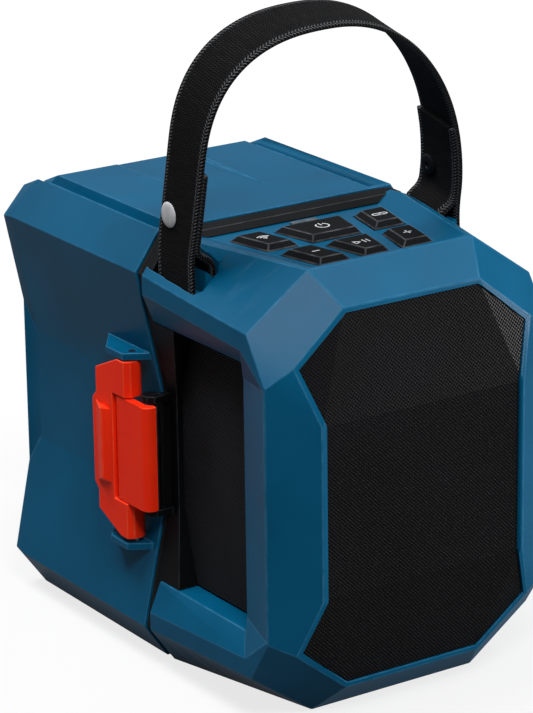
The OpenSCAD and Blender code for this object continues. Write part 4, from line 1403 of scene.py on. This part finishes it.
@dataclass
class SoftBox:
    """One soft studio lamp."""

    name: str
    place: Triple
    size: float
    power: float
    aim: Triple = (0.0, 0.0, 0.1)

    def build(self) -> None:
        """Hangs the lamp."""
        lamp = bpy.data.lights.new(self.name, "AREA")
        lamp.shape = "SQUARE"
        lamp.size = self.size
        lamp.energy = self.power
        obj = link(self.name, lamp)
        obj.location = self.place
        obj.rotation_mode = "QUATERNION"
        obj.rotation_quaternion = (Vector(self.aim) - Vector(self.place)).to_track_quat("-Z", "Y")


@dataclass
class Studio:
    """Floor, world, lamps and the camera at the photograph's angle."""

    floor: float = 8.0
    paper: Triple = (0.15, 0.15, 0.15)
    paper_specular: float = 0.1
    paper_roughness: float = 0.8
    near_far: tuple[float, float] = (0.2, 1.6)
    white_near: float = 0.78
    room: Triple = (0.96, 0.98, 1.0)
    ambient: float = 0.08
    mirrored_floor: float = 0.12
    mirrored_room: float = 0.3
    eye: Triple = (-0.7398, -1.0872, 0.5662)
    turn: float = 33.61
    tilt: float = 18.56
    roll: float = -0.80
    lens: float = 172.2
    sensor: float = 36.0
    lamps: list[SoftBox] = field(
        default_factory=lambda: [
            SoftBox("top_box", (0.8, -0.45, 1.4), 0.7, 7.5),
            SoftBox("left_box", (-0.45, 0.3, 1.5), 0.6, 19.0),
            SoftBox("key_box", (-0.45, -1.0, 1.35), 0.46, 15.5),
            SoftBox("side_box", (1.35, -0.98, 0.3), 0.45, 20.0),
            SoftBox("rear_box", (-0.32, 1.17, 0.97), 1.0, 3.0),
        ]
    )

    def build(self) -> None:
        """Builds the stage."""
        self.build_camera()
        self.build_floor()
        self.build_world()
        for lamp in self.lamps:
            lamp.build()
        bpy.context.scene.view_settings.view_transform = "Standard"

    def build_camera(self) -> None:
        """Sets the camera."""
        a, e, r = (math.radians(x) for x in (self.turn, self.tilt, self.roll))
        right = Vector((math.cos(a), -math.sin(a), 0))
        ahead = Vector((math.sin(a) * math.cos(e), math.cos(a) * math.cos(e), -math.sin(e)))
        up = right.cross(ahead)
        rolled_right = right * math.cos(r) + up * math.sin(r)
        rolled_up = up * math.cos(r) - right * math.sin(r)
        data = bpy.data.cameras.new("photo_camera")
        data.lens = self.lens
        data.sensor_width = self.sensor
        data.sensor_fit = "AUTO"
        camera = link("photo_camera", data)
        turned = Matrix((rolled_right, rolled_up, -ahead)).transposed()
        camera.matrix_world = Matrix.Translation(self.eye) @ turned.to_4x4()
        bpy.context.scene.camera = camera

    def white_rays(self, graph: Graph, mirrored: float) -> NodeSocket:
        """Makes the surroundings white to the rays that see them.

        Args:
            graph: The floor's or the world's graph.
            mirrored: How white they are in a mirror.

        Returns:
            The share of white for each ray.
        """
        rays = graph.add("ShaderNodeLightPath").outputs
        seen = graph.math("MAXIMUM", rays["Is Camera Ray"], rays["Is Transmission Ray"])
        return graph.math("MAXIMUM", seen, graph.times(rays["Is Glossy Ray"], mirrored))

    def build_floor(self) -> None:
        """Lays the pale floor, which keeps the object's shadow."""
        bm = bmesh.new()
        bmesh.ops.create_grid(bm, x_segments=2, y_segments=2, size=self.floor)
        floor = link_mesh("studio_floor", bm)
        blank = Blank("studio_paper", self.paper_specular)
        blank.drive("Roughness", self.paper_roughness)
        blank.drive("Base Color", self.paper)
        blank.drive("Emission Color", (1.0, 1.0, 1.0))
        place = blank.place["Object"]
        away = blank.add("ShaderNodeVectorMath", {"operation": "LENGTH"}, Vector=place)
        lift = blank.ramp(away.outputs["Value"], *self.near_far, self.white_near, 1.0)
        white = blank.times(self.white_rays(blank, self.mirrored_floor), lift)
        blank.drive("Emission Strength", white)
        floor.data.materials.append(blank.material)

    def build_world(self) -> None:
        """Gives the room its even light and its white backdrop."""
        world = bpy.data.worlds.new("studio_room")
        bpy.context.scene.world = world
        world.use_nodes = True
        graph = Graph(world.node_tree)
        back = world.node_tree.nodes["Background"].inputs
        white = self.white_rays(graph, self.mirrored_room)
        graph.feed(back["Color"], self.room)
        graph.feed(back["Strength"], graph.math("MAXIMUM", white, self.ambient))


def report(pieces: Iterable[Object]) -> None:
    """Logs each piece of a sub-assembly."""
    for piece in pieces:
        LOG.info("%s: %d faces", piece.name, len(piece.data.polygons))


def corners(box: tuple[Vector, Vector]) -> list[list[float]]:
    """Returns a box's two corners as plain lists."""
    return [list(corner) for corner in box]


def main() -> None:
    """Builds the dressed speaker and its studio."""
    logging.basicConfig(level=logging.INFO, format="%(name)s %(message)s")
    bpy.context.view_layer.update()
    Studio().build()
    for part in (Carried(), Shells(), SideMesh(), Keys(), CarryStrap(), DrawLatch()):
        report(part.build())


if __name__ == "__main__":
    main()
